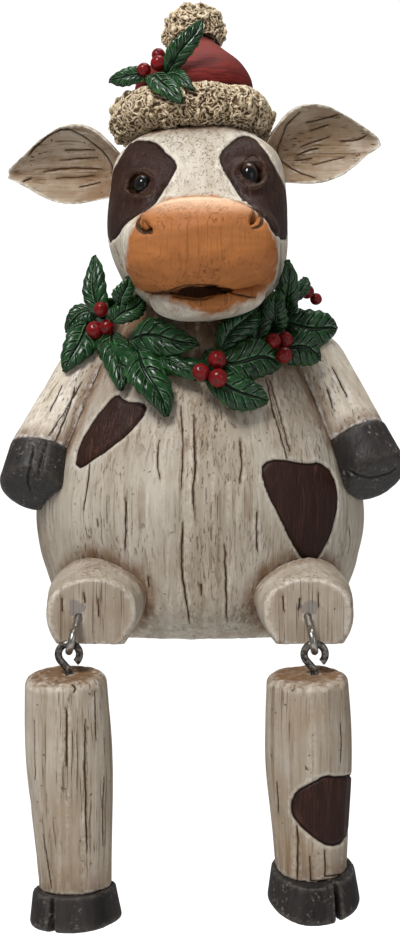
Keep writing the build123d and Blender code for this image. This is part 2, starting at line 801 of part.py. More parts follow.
with BuildPart() as hat_berries:
    for across, rise, reach in sprig_berry_shares:
        shift = (Vector(1, 0, 0) * across + up * rise + sprig_facing * reach) * sprig_berry_diameter
        berry = make_berry(sprig_centre + shift, sprig_facing, sprig_berry_diameter)
        add(seated(berry, [hat_brim, hat_crown, hat_leaves.part]))
save(hat_berries.part, "hat_berries")


# Fur, in rows round the band and the bobble where nothing else lies
def curl_places(centre, ring_radius, tube_radius, lowest, highest, sectors, others):
    """Clear places for curls on a ring or a ball, each with its turn from the front
    and the way the surface faces."""
    boxes = [other.bounding_box() for other in others]
    row_step = math.degrees(curl_pitch * curl_row_share / tube_radius)
    places = []
    for row in range(int((highest - lowest) / row_step) + 1):
        rise = math.radians(lowest + row * row_step)
        around = math.tau * (ring_radius + tube_radius * math.cos(rise))
        count = sectors * max(1, int(around / curl_pitch / sectors))
        for step in range(count):
            turn = 360 * (step + 0.5) / count
            out = turned(hat_back * -1, hat_up, turn)
            facing = out * math.cos(rise) + hat_up * math.sin(rise)
            place = centre + out * ring_radius + facing * tube_radius
            if not any(crowded(place, other, box) for other, box in zip(others, boxes)):
                places.append((place, turn, facing))
    return places


def crowded(place, other, box):
    """True where a curl at a place would touch another piece."""
    for low, at, high in zip(box.min, place, box.max):
        if not low - curl_room < at < high + curl_room:
            return False
    return other.distance_to(Vertex(*place)) < curl_room


def furred(piece, places):
    """The piece with a curl at each place."""
    curls = []
    for place, turn, facing in places:
        across = turned(Plane(origin=place, z_dir=facing).x_dir, facing, golden_angle * turn)
        lean = turned(facing, across, curl_tilt)
        with BuildPart(Plane(origin=place - facing * curl_sink, x_dir=across, z_dir=lean)) as ring:
            Torus(curl_radius, curl_thickness / 2)
        curls.append(ring.part)
    with BuildPart() as coat:
        add(piece)
        add(curls)
    return seated(coat.part, [])


# The band is curled a quarter at a time, so that no curl lies across a seam
sprig = [hat_leaves.part, hat_berries.part]
quarter = 90
beside_brim = [head.part, hat_crown, hat_bobble] + ears + sprig
brim_places = curl_places(brim_centre, brim_radius, brim_tube, brim_curl_low, brim_curl_high, 4, beside_brim)
with BuildPart() as curled_brim:
    for start in range(0, 360, quarter):
        places = [spot for spot in brim_places if start < spot[1] < start + quarter]
        add(furred(make_brim(start, quarter), places), clean=False)
save(curled_brim.part, "hat_brim")
beside_bobble = [hat_crown, hat_brim] + sprig
bobble_places = curl_places(
    bobble_centre, 0, bobble_diameter / 2, bobble_curl_low, bobble_curl_high, 1, beside_bobble
)
save(furred(hat_bobble, bobble_places), "hat_bobble")
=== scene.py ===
import math

import bpy
import numpy as np
from mathutils import Matrix, Vector, noise
from mathutils.bvhtree import BVHTree


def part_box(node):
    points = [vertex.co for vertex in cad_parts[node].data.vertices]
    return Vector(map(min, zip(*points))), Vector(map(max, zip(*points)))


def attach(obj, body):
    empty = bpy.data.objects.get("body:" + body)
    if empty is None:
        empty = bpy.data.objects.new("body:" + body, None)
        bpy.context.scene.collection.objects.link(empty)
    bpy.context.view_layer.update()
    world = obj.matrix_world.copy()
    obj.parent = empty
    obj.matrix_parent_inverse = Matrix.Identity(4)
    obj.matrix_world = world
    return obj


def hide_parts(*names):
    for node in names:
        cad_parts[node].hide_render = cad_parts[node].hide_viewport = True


bl_info = {
    "name": "Dressed Cow Ornament",
    "version": (1, 0, 0),
    "blender": (4, 5, 0),
    "location": "View3D > Sidebar > Cow Ornament",
    "description": "Carved and painted surfaces for a seated cow ornament with hat, garland and hanging legs",
    "category": "Object",
}

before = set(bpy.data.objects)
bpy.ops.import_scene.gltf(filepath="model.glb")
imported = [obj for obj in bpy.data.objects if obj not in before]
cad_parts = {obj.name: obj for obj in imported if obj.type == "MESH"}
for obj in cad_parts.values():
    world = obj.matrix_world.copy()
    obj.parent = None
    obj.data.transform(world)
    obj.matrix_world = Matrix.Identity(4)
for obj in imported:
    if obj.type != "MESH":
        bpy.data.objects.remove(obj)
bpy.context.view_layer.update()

# Sizes are in metres, and names ending in pixels are places on the photograph
millimetre = 0.001
photo_pixels_size = (400, 935)
photo_focal_pixels = 2880.0
photo_middle_pixels = (200.0, 467.5)
eye_level = 0.0521
viewing_distance = 0.9
sides = {"left": 1, "right": -1}
leaf_veins = 6.0
leaf_vein_slant = 1.3
# In millimetres: how far from a crack its distance is told apart, and what is stored
# where no outline or crack is near
crack_reach = 1.3
far_off = 20.0
no_crack = -10.0
# Steps in which a place past a piece's outline is brought back onto it
unroll_steps = 120
# How far drawn lines waver, and how many flutes and cuts there are to the millimetre
line_waver = 0.22 * millimetre
long_flute_counts = np.array((0.22, 0.22, 0.02)) / millimetre
short_cut_counts = np.array((0.55, 0.55, 0.05)) / millimetre
# How far along a crack its tapered ends reach, as a share
taper_share = 0.22
# How far from a neighbour its brown stain and painted shade reach
stain_and_shade_reach = 6.0 * millimetre
# The size of the even faces that each piece is carved in
body_voxel = 0.62 * millimetre
head_voxel = 0.5 * millimetre
limb_voxel = 0.45 * millimetre
ear_voxel = 0.40 * millimetre
hoof_voxel = 0.40 * millimetre
band_voxel = 0.32 * millimetre
bobble_voxel = 0.30 * millimetre
crown_voxel = 0.5 * millimetre
vine_voxel = 0.45 * millimetre


class CowSizes(bpy.types.PropertyGroup):
    flute_depth: bpy.props.FloatProperty(
        name="Flute depth", description="How deep the long shallow flutes of the wood are",
        default=0.00022, min=0.0, max=0.001, precision=5, unit="LENGTH")
    crack_depth: bpy.props.FloatProperty(
        name="Crack depth", description="How deep the drying cracks are cut",
        default=0.0005, min=0.0, max=0.002, precision=5, unit="LENGTH")
    patch_line_depth: bpy.props.FloatProperty(
        name="Patch line depth", description="How deep the line carved round each dark patch is",
        default=0.0006, min=0.0, max=0.002, precision=5, unit="LENGTH")
    curl_height: bpy.props.FloatProperty(
        name="Fur curl height", description="How far the curls of the fur band and bobble stand up",
        default=0.0010, min=0.0, max=0.004, precision=5, unit="LENGTH")
    leaf_thickness: bpy.props.FloatProperty(
        name="Leaf thickness", description="Thickness of the cast leaves",
        default=0.0010, min=0.0004, max=0.003, precision=5, unit="LENGTH")


class CowColours(bpy.types.PropertyGroup):
    cream: bpy.props.FloatVectorProperty(
        name="Whitewash", description="Pale top coat of the body",
        default=(0.62, 0.57, 0.49), size=3, subtype="COLOR", min=0.0, max=1.0)
    bone: bpy.props.FloatVectorProperty(
        name="Undercoat", description="Darker cream that shows between the brush strokes",
        default=(0.40, 0.34, 0.26), size=3, subtype="COLOR", min=0.0, max=1.0)
    # The brown of the wash, also used as painted shade in the hollows and where pieces meet
    umber: bpy.props.FloatVectorProperty(
        name="Antique wash", description="Brown stain that lies in the creases",
        default=(0.15, 0.072, 0.028), size=3, subtype="COLOR", min=0.0, max=1.0)
    patch: bpy.props.FloatVectorProperty(
        name="Patches", description="Dark brown of the coat's patches",
        default=(0.024, 0.0095, 0.0065), size=3, subtype="COLOR", min=0.0, max=1.0)
    muzzle: bpy.props.FloatVectorProperty(
        name="Muzzle", description="Orange tan of the muzzle",
        default=(0.40, 0.145, 0.042), size=3, subtype="COLOR", min=0.0, max=1.0)
    hoof: bpy.props.FloatVectorProperty(
        name="Hooves", description="Dark horn",
        default=(0.009, 0.0075, 0.007), size=3, subtype="COLOR", min=0.0, max=1.0)
    felt: bpy.props.FloatVectorProperty(
        name="Hat", description="Dusty red of the crown",
        default=(0.066, 0.0045, 0.004), size=3, subtype="COLOR", min=0.0, max=1.0)
    fur: bpy.props.FloatVectorProperty(
        name="Fur", description="Cream of the curls",
        default=(0.40, 0.29, 0.165), size=3, subtype="COLOR", min=0.0, max=1.0)
    leaf: bpy.props.FloatVectorProperty(
        name="Leaves", description="Dark green of the leaves",
        default=(0.003, 0.019, 0.004), size=3, subtype="COLOR", min=0.0, max=1.0)
    berry: bpy.props.FloatVectorProperty(
        name="Berries", description="Glossy red",
        default=(0.19, 0.006, 0.007), size=3, subtype="COLOR", min=0.0, max=1.0)
    steel: bpy.props.FloatVectorProperty(
        name="Wire", description="Plated steel of the wire eyes",
        default=(0.36, 0.34, 0.31), size=3, subtype="COLOR", min=0.0, max=1.0)


def sizes():
    return bpy.context.scene.cow_sizes


def colours():
    return bpy.context.scene.cow_colours


# Selecting, copying and finishing pieces
def deselect_all():
    for thing in bpy.context.selected_objects:
        thing.select_set(False)


def pick(piece):
    deselect_all()
    piece.select_set(True)
    bpy.context.view_layer.objects.active = piece


def apply_modifier(piece, kind, **settings):
    pick(piece)
    modifier = piece.modifiers.new(kind.title(), kind)
    for setting, value in settings.items():
        setattr(modifier, setting, value)
    bpy.ops.object.modifier_apply(modifier=modifier.name)


def cad_node(name):
    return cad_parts[name]


def copy_of(name, *nodes):
    """A new piece with the merged mesh of some of the frame's nodes."""
    copies = []
    for node_name in nodes:
        copy = bpy.data.objects.new(name, cad_node(node_name).data.copy())
        copy.data.materials.clear()
        bpy.context.scene.collection.objects.link(copy)
        copies.append(copy)
    pick(copies[0])
    for copy in copies[1:]:
        copy.select_set(True)
    if len(copies) > 1:
        bpy.ops.object.join()
    piece = bpy.context.view_layer.objects.active
    bpy.ops.object.mode_set(mode="EDIT")
    bpy.ops.mesh.select_all(action="SELECT")
    bpy.ops.mesh.remove_doubles(threshold=0.00001)
    bpy.ops.object.mode_set(mode="OBJECT")
    return piece


def clay(piece, voxel, smoothing):
    """Turns a piece into an even net of small faces that can be carved."""
    apply_modifier(piece, "REMESH", mode="VOXEL", voxel_size=voxel)
    apply_modifier(piece, "SMOOTH", factor=0.5, iterations=smoothing)
    bpy.ops.object.shade_smooth()
    return piece


def finish_piece(piece, material, body, slot, *nodes):
    piece.data.materials.clear()
    piece.data.materials.append(material)
    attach(piece, body)
    if nodes:
        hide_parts(*nodes)
    return piece


# Reading and moving the points of a piece
def places_of(piece):
    places = np.empty(len(piece.data.vertices) * 3)
    piece.data.vertices.foreach_get("co", places)
    return places.reshape(-1, 3)


def normals_of(piece):
    normals = np.empty(len(piece.data.vertices) * 3)
    piece.data.vertices.foreach_get("normal", normals)
    return normals.reshape(-1, 3)


def set_places(piece, places):
    piece.data.vertices.foreach_set("co", places.ravel())
    piece.data.update()


def push(piece, heights):
    """Moves each point along its normal."""
    set_places(piece, places_of(piece) + normals_of(piece) * heights[:, None])


def keep(piece, name, values):
    """Stores one number a point for the paint to read."""
    mesh = piece.data
    store = mesh.attributes.get(name) or mesh.attributes.new(name, "FLOAT", "POINT")
    store.data.foreach_set("value", np.asarray(values, np.float32))


def kept(piece, name):
    values = np.empty(len(piece.data.vertices), np.float32)
    piece.data.attributes[name].data.foreach_get("value", values)
    return values


def edge_ends(piece):
    ends = np.empty(len(piece.data.edges) * 2, np.int64)
    piece.data.edges.foreach_get("vertices", ends)
    return ends.reshape(-1, 2)


def blurred(values, ends, rounds):
    """Each point's values shared out among its neighbours, round after round."""
    count = len(values)
    first, second = ends[:, 0], ends[:, 1]
    degree = np.bincount(first, minlength=count) + np.bincount(second, minlength=count)
    degree = np.maximum(degree, 1)
    flat = values.reshape(count, -1).astype(float)
    for _ in range(rounds):
        columns = []
        for column in flat.T:
            total = np.bincount(first, weights=column[second], minlength=count)
            total += np.bincount(second, weights=column[first], minlength=count)
            columns.append(0.5 * column + 0.5 * total / degree)
        flat = np.stack(columns, axis=1)
    return flat.reshape(values.shape)


def hollow_of(piece, rounds):
    """How far each point lies below the smoothed surface, in millimetres."""
    places = places_of(piece)
    smooth = blurred(places, edge_ends(piece), rounds)
    return ((smooth - places) * normals_of(piece)).sum(axis=1) / millimetre


def ramp(values, low, high):
    share = np.clip((values - low) / (high - low), 0.0, 1.0)
    return share * share * (3.0 - 2.0 * share)


def noise_at(places, scale, shift=0.0):
    """Smooth noise from about -1 to 1, with a size of one over the scale."""
    points = (places * np.asarray(scale) + shift).tolist()
    return np.array([noise.noise(point) for point in points])


def tree_of(*things):
    """A search tree over the faces of some pieces or nodes."""
    corners, faces = [], []
    for thing in things:
        start = len(corners)
        corners.extend(vertex.co.copy() for vertex in thing.data.vertices)
        faces.extend([start + index for index in face.vertices] for face in thing.data.polygons)
    return BVHTree.FromPolygons(corners, faces)


def gap_to(places, tree, reach):
    """How far each point is from some other pieces, in metres, up to a reach."""
    gaps = np.full(len(places), reach)
    for index, place in enumerate(places.tolist()):
        found = tree.find_nearest(place, reach)
        if found[0] is not None:
            gaps[index] = found[3]
    return gaps


# Drawing on a piece with places from the photograph
def sight(pixel):
    across = (pixel[0] - photo_middle_pixels[0]) / photo_focal_pixels
    rise = (photo_middle_pixels[1] - pixel[1]) / photo_focal_pixels
    return Vector((across, 1.0, rise)).normalized()


eye_place = Vector((0.0, -viewing_distance, eye_level))


def seen_place(tree, pixel):
    return tree.ray_cast(eye_place, sight(pixel))[0]


def pixel_at(depth):
    """How wide a pixel of the photograph is at a depth."""
    return (depth + viewing_distance) / photo_focal_pixels


def place_at_depth(pixel, depth):
    line = sight(pixel)
    return eye_place + line * ((depth - eye_place.y) / line.y)


def segments(points, closed):
    """The pairs of points that a line runs between."""
    return list(zip(points, points[1:] + points[:1])) if closed else list(zip(points, points[1:]))


def softened(pixels, closed):
    """A drawn line with its corners cut."""
    cut = [] if closed else [pixels[0]]
    for start, end in segments(pixels, closed):
        cut.append((0.75 * start[0] + 0.25 * end[0], 0.75 * start[1] + 0.25 * end[1]))
        cut.append((0.25 * start[0] + 0.75 * end[0], 0.25 * start[1] + 0.75 * end[1]))
    return cut if closed else cut + [pixels[-1]]


class Drawing:
    """A piece's surface laid out flat, so that lines can be drawn on it in pixels of
    the photograph. A round piece unrolls about an upright axis, and a line that is
    drawn past its outline runs on round its side."""

    def __init__(self, piece, axis=None, waver=0.0):
        self.tree = tree_of(piece)
        self.axis = axis
        places = places_of(piece)
        self.count = len(places)
        if axis is None:
            self.turn, self.radius = places[:, 0], np.ones(len(places))
        else:
            across, ahead = places[:, 0] - axis[0], axis[1] - places[:, 1]
            self.turn, self.radius = np.arctan2(across, ahead), np.hypot(across, ahead)
        self.height = places[:, 2]
        if waver:
            sway = noise_at(places, 0.28 / millimetre, 3.0)
            sway += 0.7 * noise_at(places, 0.85 / millimetre, 9.0)
            self.turn = self.turn + waver * sway / self.radius
            self.height = self.height + waver * noise_at(places, 0.30 / millimetre, 21.0)

    def mark(self, pixel):
        """The unrolled place of a pixel."""
        if self.axis is None:
            middle = pixel[0]
        else:
            middle = photo_middle_pixels[0] + self.axis[0] / pixel_at(self.axis[1])
        for step in range(unroll_steps):
            across = pixel[0] + (middle - pixel[0]) * step / unroll_steps
            place = seen_place(self.tree, (across, pixel[1]))
            if place is not None:
                break
        if place is None:
            place = place_at_depth((middle, pixel[1]), self.axis[1] if self.axis else 0.0)
        if self.axis is None:
            return place.x, place.z
        beside, ahead = place.x - self.axis[0], self.axis[1] - place.y
        radius = math.hypot(beside, ahead)
        past = (pixel[0] - across) * pixel_at(place.y)
        return math.atan2(beside, ahead) + past / radius, place.z

    def measure(self, pixels, closed):
        """How far each point is from a drawn line in millimetres, which are inside,
        how far along it they are, and on which side of it."""
        ends = segments([self.mark(pixel) for pixel in softened(pixels, closed)], closed)
        nearest = np.full(self.count, 1.0)
        inside = np.zeros(self.count, bool)
        along = np.zeros(self.count)
        side = np.ones(self.count)
        for index, (start, end) in enumerate(ends):
            start_across = (start[0] - self.turn) * self.radius
            end_across = (end[0] - self.turn) * self.radius
            start_up, end_up = start[1] - self.height, end[1] - self.height
            run, climb = end_across - start_across, end_up - start_up
            length = np.maximum(run * run + climb * climb, 1e-12)
            share = np.clip(-(start_across * run + start_up * climb) / length, 0.0, 1.0)
            apart = np.hypot(start_across + share * run, start_up + share * climb)
            closer = apart < nearest
            nearest = np.where(closer, apart, nearest)
            along = np.where(closer, (index + share) / len(ends), along)
            side = np.where(closer, np.sign(start_across * climb - start_up * run), side)
            crosses = (start_up > 0) != (end_up > 0)
            level = np.where(crosses, climb, 1.0)
            inside ^= crosses & (start_across - run * start_up / level > 0)
        return nearest / millimetre, inside, along, side

    def patch(self, outlines):
        """Distance to the nearest outline in millimetres, and negative inside one."""
        result = np.full(self.count, far_off)
        for pixels in outlines:
            nearest, inside, _, _ = self.measure(pixels, closed=True)
            result = np.minimum(result, np.where(inside, -nearest, nearest))
        return result

    def cracks(self, lines):
        """Signed distance to the nearest line of some widths and pixels, and its half
        width there, which tapers at its ends and is far below nothing off the line."""
        offset = np.full(self.count, far_off)
        width = np.full(self.count, no_crack)
        for half_width, pixels in lines:
            nearest, _, along, side = self.measure(pixels, closed=False)
            taper = ramp(np.minimum(along, 1.0 - along), 0.0, taper_share)
            closer = nearest < np.abs(offset)
            offset = np.where(closer, nearest * side, offset)
            tapered = 0.72 * half_width * (0.25 + 0.75 * taper) - 0.3 * (taper <= 0.0)
            width = np.where(closer, np.where(nearest < crack_reach, tapered, no_crack), width)
        return offset, width


# Flat colours that the settings don't change
aged_colour = (0.24, 0.145, 0.068)
patch_streak_colour = (0.075, 0.030, 0.018)
ridge_highlight_colour = (0.95, 0.68, 0.47)
mouth_colour = (0.15, 0.055, 0.026)
glue_colour = (0.20, 0.18, 0.165)
horn_scuff_and_highlight_colour = (0.20, 0.18, 0.155)
horn_brush_colour = (0.12, 0.105, 0.09)
horn_cut_colour = (0.002, 0.0015, 0.0012)
fur_brush_colour = (0.80, 0.69, 0.51)
felt_highlight_colour = (0.30, 0.085, 0.070)
felt_shade_colour = (0.02, 0.006, 0.005)
leaf_edge_highlight_colour = (0.05, 0.19, 0.04)
leaf_cut_colour = (0.003, 0.009, 0.004)
leaf_brush_highlight_colour = (0.17, 0.30, 0.17)
dimple_colour = (0.02, 0.004, 0.003)
pupil_colour = (0.004, 0.004, 0.004)
iris_colour = (0.035, 0.018, 0.009)
tarnish_colour = (0.045, 0.035, 0.028)
# Streaks of the grain to the metre, and how far they are drawn out along the log
fine_streaks = 1500.0
wide_streaks = 520.0
broad_streaks = 90.0
fine_stretch = (1.0, 1.0, 0.028)
broad_stretch = (1.0, 1.0, 0.13)
lightest_brush = 0.92


# Paint: nodes and effects that more than one finish uses
def add_node(tree, kind, settings=None, sockets=None):
    node = tree.nodes.new(kind)
    for setting, value in (settings or {}).items():
        setattr(node, setting, value)
    for socket, value in (sockets or {}).items():
        if isinstance(value, bpy.types.NodeSocket):
            tree.links.new(value, node.inputs[socket])
        else:
            node.inputs[socket].default_value = value
    return node


def new_group(name, inputs, outputs):
    """An empty shader group. Four numbers make a colour input, three a vector and one
    a float, and an output is a colour if it is called Color."""
    tree = bpy.data.node_groups.new(name, "ShaderNodeTree")
    kinds = {1: "NodeSocketFloat", 3: "NodeSocketVector", 4: "NodeSocketColor"}
    for label, value in inputs.items():
        kind = kinds[len(value) if isinstance(value, tuple) else 1]
        socket = tree.interface.new_socket(name=label, in_out="INPUT", socket_type=kind)
        socket.default_value = value
    for label in outputs:
        kind = "NodeSocketColor" if label == "Color" else "NodeSocketFloat"
        tree.interface.new_socket(name=label, in_out="OUTPUT", socket_type=kind)
    return tree, tree.nodes.new("NodeGroupInput").outputs, tree.nodes.new("NodeGroupOutput").inputs


def calculate(tree, operation, first, second=0.0, clamp=False):
    settings = {"operation": operation, "use_clamp": clamp}
    return add_node(tree, "ShaderNodeMath", settings, {0: first, 1: second}).outputs[0]


def times(tree, first, second):
    return calculate(tree, "MULTIPLY", first, second)


def larger(tree, first, second):
    return calculate(tree, "MAXIMUM", first, second)


def blend(tree, share, first, second):
    """The first colour where the share is nothing, and the second where it is one."""
    settings = {"data_type": "RGBA", "blend_type": "MIX", "clamp_factor": True}
    return add_node(tree, "ShaderNodeMix", settings, {0: share, 6: first, 7: second}).outputs[2]


def rescale(tree, value, low, high, low_result=0.0, high_result=1.0):
    sockets = {"Value": value, "From Min": low, "From Max": high,
               "To Min": low_result, "To Max": high_result}
    return add_node(tree, "ShaderNodeMapRange", {"clamp": True}, sockets).outputs["Result"]


def falling(tree, value, low, high):
    """One up to the low value, and nothing from the high one on."""
    return rescale(tree, value, low, high, 1.0, 0.0)


def speckle(tree, vector, scale, detail=4.0, roughness=0.55, distortion=0.0):
    sockets = {"Vector": vector, "Scale": scale, "Detail": detail, "Roughness": roughness,
               "Distortion": distortion}
    return add_node(tree, "ShaderNodeTexNoise", None, sockets).outputs["Fac"]


def object_places(tree):
    return add_node(tree, "ShaderNodeTexCoord").outputs["Object"]


def stretched(tree, vector, scale):
    return add_node(tree, "ShaderNodeMapping", None, {"Vector": vector, "Scale": scale}).outputs[0]


def stored(tree, name):
    return add_node(tree, "ShaderNodeAttribute", {"attribute_name": name}).outputs["Fac"]


def toned(colour, strength):
    return tuple(strength * tone for tone in colour)


def opaque(colour, strength=1.0):
    return (*toned(colour, strength), 1.0)


blank = (0.8, 0.8, 0.8, 1.0)


def grain_group():
    """Brushed streaks and pores that run along a log."""
    tree, given, result = new_group(
        "Carved Grain", {"Turn": (0.0, 0.0, 0.0), "Fineness": 1.0}, ("Streak", "Tone", "Hair", "Height"))
    places = object_places(tree)
    turned = add_node(tree, "ShaderNodeMapping", None, {"Vector": places, "Rotation": given["Turn"]})
    fine = stretched(tree, turned.outputs[0], fine_stretch)
    broad = stretched(tree, turned.outputs[0], broad_stretch)
    line = speckle(tree, fine, times(tree, given["Fineness"], fine_streaks), 5.0, 0.6, 0.25)
    wide = speckle(tree, fine, times(tree, given["Fineness"], wide_streaks), 4.0, 0.6, 0.6)
    tone = speckle(tree, broad, broad_streaks, 5.0, 0.6, 0.3)
    thin = rescale(tree, line, 0.50, 0.64)
    bold = rescale(tree, wide, 0.56, 0.65)
    streak = larger(tree, times(tree, thin, 0.7), bold)
    breakup = rescale(tree, speckle(tree, places, 60.0, 3.0), 0.35, 0.62, 0.2, 1.0)
    tree.links.new(times(tree, streak, breakup), result["Streak"])
    tree.links.new(rescale(tree, tone, 0.33, 0.68), result["Tone"])
    where = rescale(tree, speckle(tree, broad, 80.0, 2.0), 0.44, 0.60)
    hair = times(tree, rescale(tree, line, 0.60, 0.66), where)
    pit = rescale(tree, speckle(tree, places, 620.0, 1.0), 0.74, 0.79)
    hair = larger(tree, hair, pit)
    tree.links.new(hair, result["Hair"])
    height = calculate(tree, "ADD", times(tree, line, -0.6), times(tree, bold, -0.5))
    tree.links.new(calculate(tree, "SUBTRACT", height, hair), result["Height"])
    return tree


def wash_and_shade_group():
    """Brown stain that was brushed on and wiped off and stays in the creases, laid on also as painted shade
    in the hollows and where other pieces meet.
    """
    tree, given, result = new_group(
        "Antique Wash And Painted Shade", {"Color": blank, "Stain": blank, "Hollow": 0.0, "Shade": 0.0}, ("Color",))
    cloud = rescale(tree, speckle(tree, object_places(tree), 140.0, 5.0, 0.65), 0.3, 0.7, 0.45, 1.15)
    lain = times(tree, given["Shade"], cloud)
    share = calculate(tree, "ADD", lain, given["Hollow"], clamp=True)
    warm = blend(tree, times(tree, share, 0.85), given["Color"], given["Stain"])
    tree.links.new(warm, result["Color"])
    return tree


def patch_group():
    """A painted area with a carved line round it, and a pale rim outside the line, of worn paint and a
    painted highlight on the groove's lip.
    Distance is in millimetres, and negative inside."""
    tree, given, result = new_group(
        "Carved Patch",
        {"Color": blank, "Paint": blank, "Line": blank, "Rim": blank, "Distance": far_off},
        ("Color", "Mask"))
    distance = given["Distance"]
    inside = falling(tree, distance, -0.15, 0.1)
    # The pale rim is worn paint and a painted highlight on the groove's lip
    rim = times(tree, rescale(tree, distance, 0.25, 0.55), falling(tree, distance, 0.9, 1.5))
    line = times(tree, rescale(tree, distance, -0.45, -0.1), falling(tree, distance, 0.2, 0.45))
    broken = rescale(tree, speckle(tree, object_places(tree), 150.0, 3.0), 0.45, 0.6, 0.1, 0.6)
    lightened = blend(tree, times(tree, rim, broken), given["Color"], given["Rim"])
    filled = blend(tree, inside, lightened, given["Paint"])
    tree.links.new(blend(tree, line, filled, given["Line"]), result["Color"])
    tree.links.new(inside, result["Mask"])
    return tree


def brush_group():
    """Pale paint dragged over the parts that stand out."""
    tree, given, result = new_group(
        "Dry Brush", {"Color": blank, "Brush": blank, "Hollow": 0.0, "Amount": 0.6}, ("Color",))
    stand = rescale(tree, given["Hollow"], -0.02, -0.16)
    drag = rescale(tree, speckle(tree, object_places(tree), 700.0, 4.0, 0.6), 0.35, 0.6)
    share = times(tree, times(tree, stand, drag), given["Amount"])
    tree.links.new(blend(tree, share, given["Color"], given["Brush"]), result["Color"])
    return tree


def effect(tree, name, maker, sockets):
    group = bpy.data.node_groups.get(name) or maker()
    return add_node(tree, "ShaderNodeGroup", {"node_tree": group}, sockets).outputs


def washed_and_shaded(tree, coat, stain, hollow, shade):
    sockets = {"Color": coat, "Stain": stain, "Hollow": hollow, "Shade": shade}
    return effect(tree, "Antique Wash And Painted Shade", wash_and_shade_group, sockets)["Color"]


def brushed_over(tree, coat, brush, amount):
    sockets = {"Color": coat, "Brush": brush, "Hollow": stored(tree, "hollow"), "Amount": amount}
    return effect(tree, "Dry Brush", brush_group, sockets)["Color"]


def painted(name, maker, **settings):
    """The material of that name, made the first time that it is asked for."""
    material = bpy.data.materials.get(name)
    if material is None:
        material = bpy.data.materials.new(name)
        material.use_nodes = True
        tree = material.node_tree
        maker(tree, tree.nodes["Principled BSDF"], **settings)
    return material


def cover(tree, shader, coat, roughness, specular=0.5):
    tree.links.new(coat, shader.inputs["Base Color"])
    tree.links.new(roughness, shader.inputs["Roughness"])
    shader.inputs["Specular IOR Level"].default_value = specular


def raise_surface(tree, shader, height, distance):
    bump = add_node(tree, "ShaderNodeBump", None, {"Height": height, "Distance": distance, "Strength": 1.0})
    tree.links.new(bump.outputs[0], shader.inputs["Normal"])


def tan_muzzle(tree, coat, hollow):
    """Streaky orange tan with a pale painted highlight on its ridge, ragged along the muzzle's outline."""
    paint = colours()
    places = object_places(tree)
    bands = stretched(tree, places, (0.25, 0.6, 1.0))
    band = rescale(tree, speckle(tree, bands, 240.0, 6.0, 0.65, 0.6), 0.36, 0.66)
    tan = blend(tree, times(tree, band, 0.6), opaque(paint.muzzle), opaque(paint.muzzle, 0.5))
    # A painted highlight along the muzzle's top ridge
    lightened = rescale(tree, stored(tree, "ridge"), 0.0, 1.0, 0.0, 0.88)
    tan = blend(tree, lightened, tan, opaque(ridge_highlight_colour))
    tan = washed_and_shaded(tree, tan, opaque(paint.umber), hollow, 0.0)
    ragged = rescale(tree, speckle(tree, places, 260.0, 4.0), 0.3, 0.7, -1.1, 1.1)
    edge = calculate(tree, "ADD", stored(tree, "muzzle"), ragged)
    return blend(tree, falling(tree, edge, -0.9, 1.4), coat, tan)


def glue_blob(tree, coat):
    """A grey smear of glue round the root of a wire eye."""
    blotch = rescale(tree, speckle(tree, object_places(tree), 420.0, 4.0), 0.3, 0.7, -0.55, 0.55)
    blob = rescale(tree, calculate(tree, "ADD", stored(tree, "glue"), blotch), 0.4, 0.6)
    return blend(tree, times(tree, blob, 0.8), coat, opaque(glue_colour))


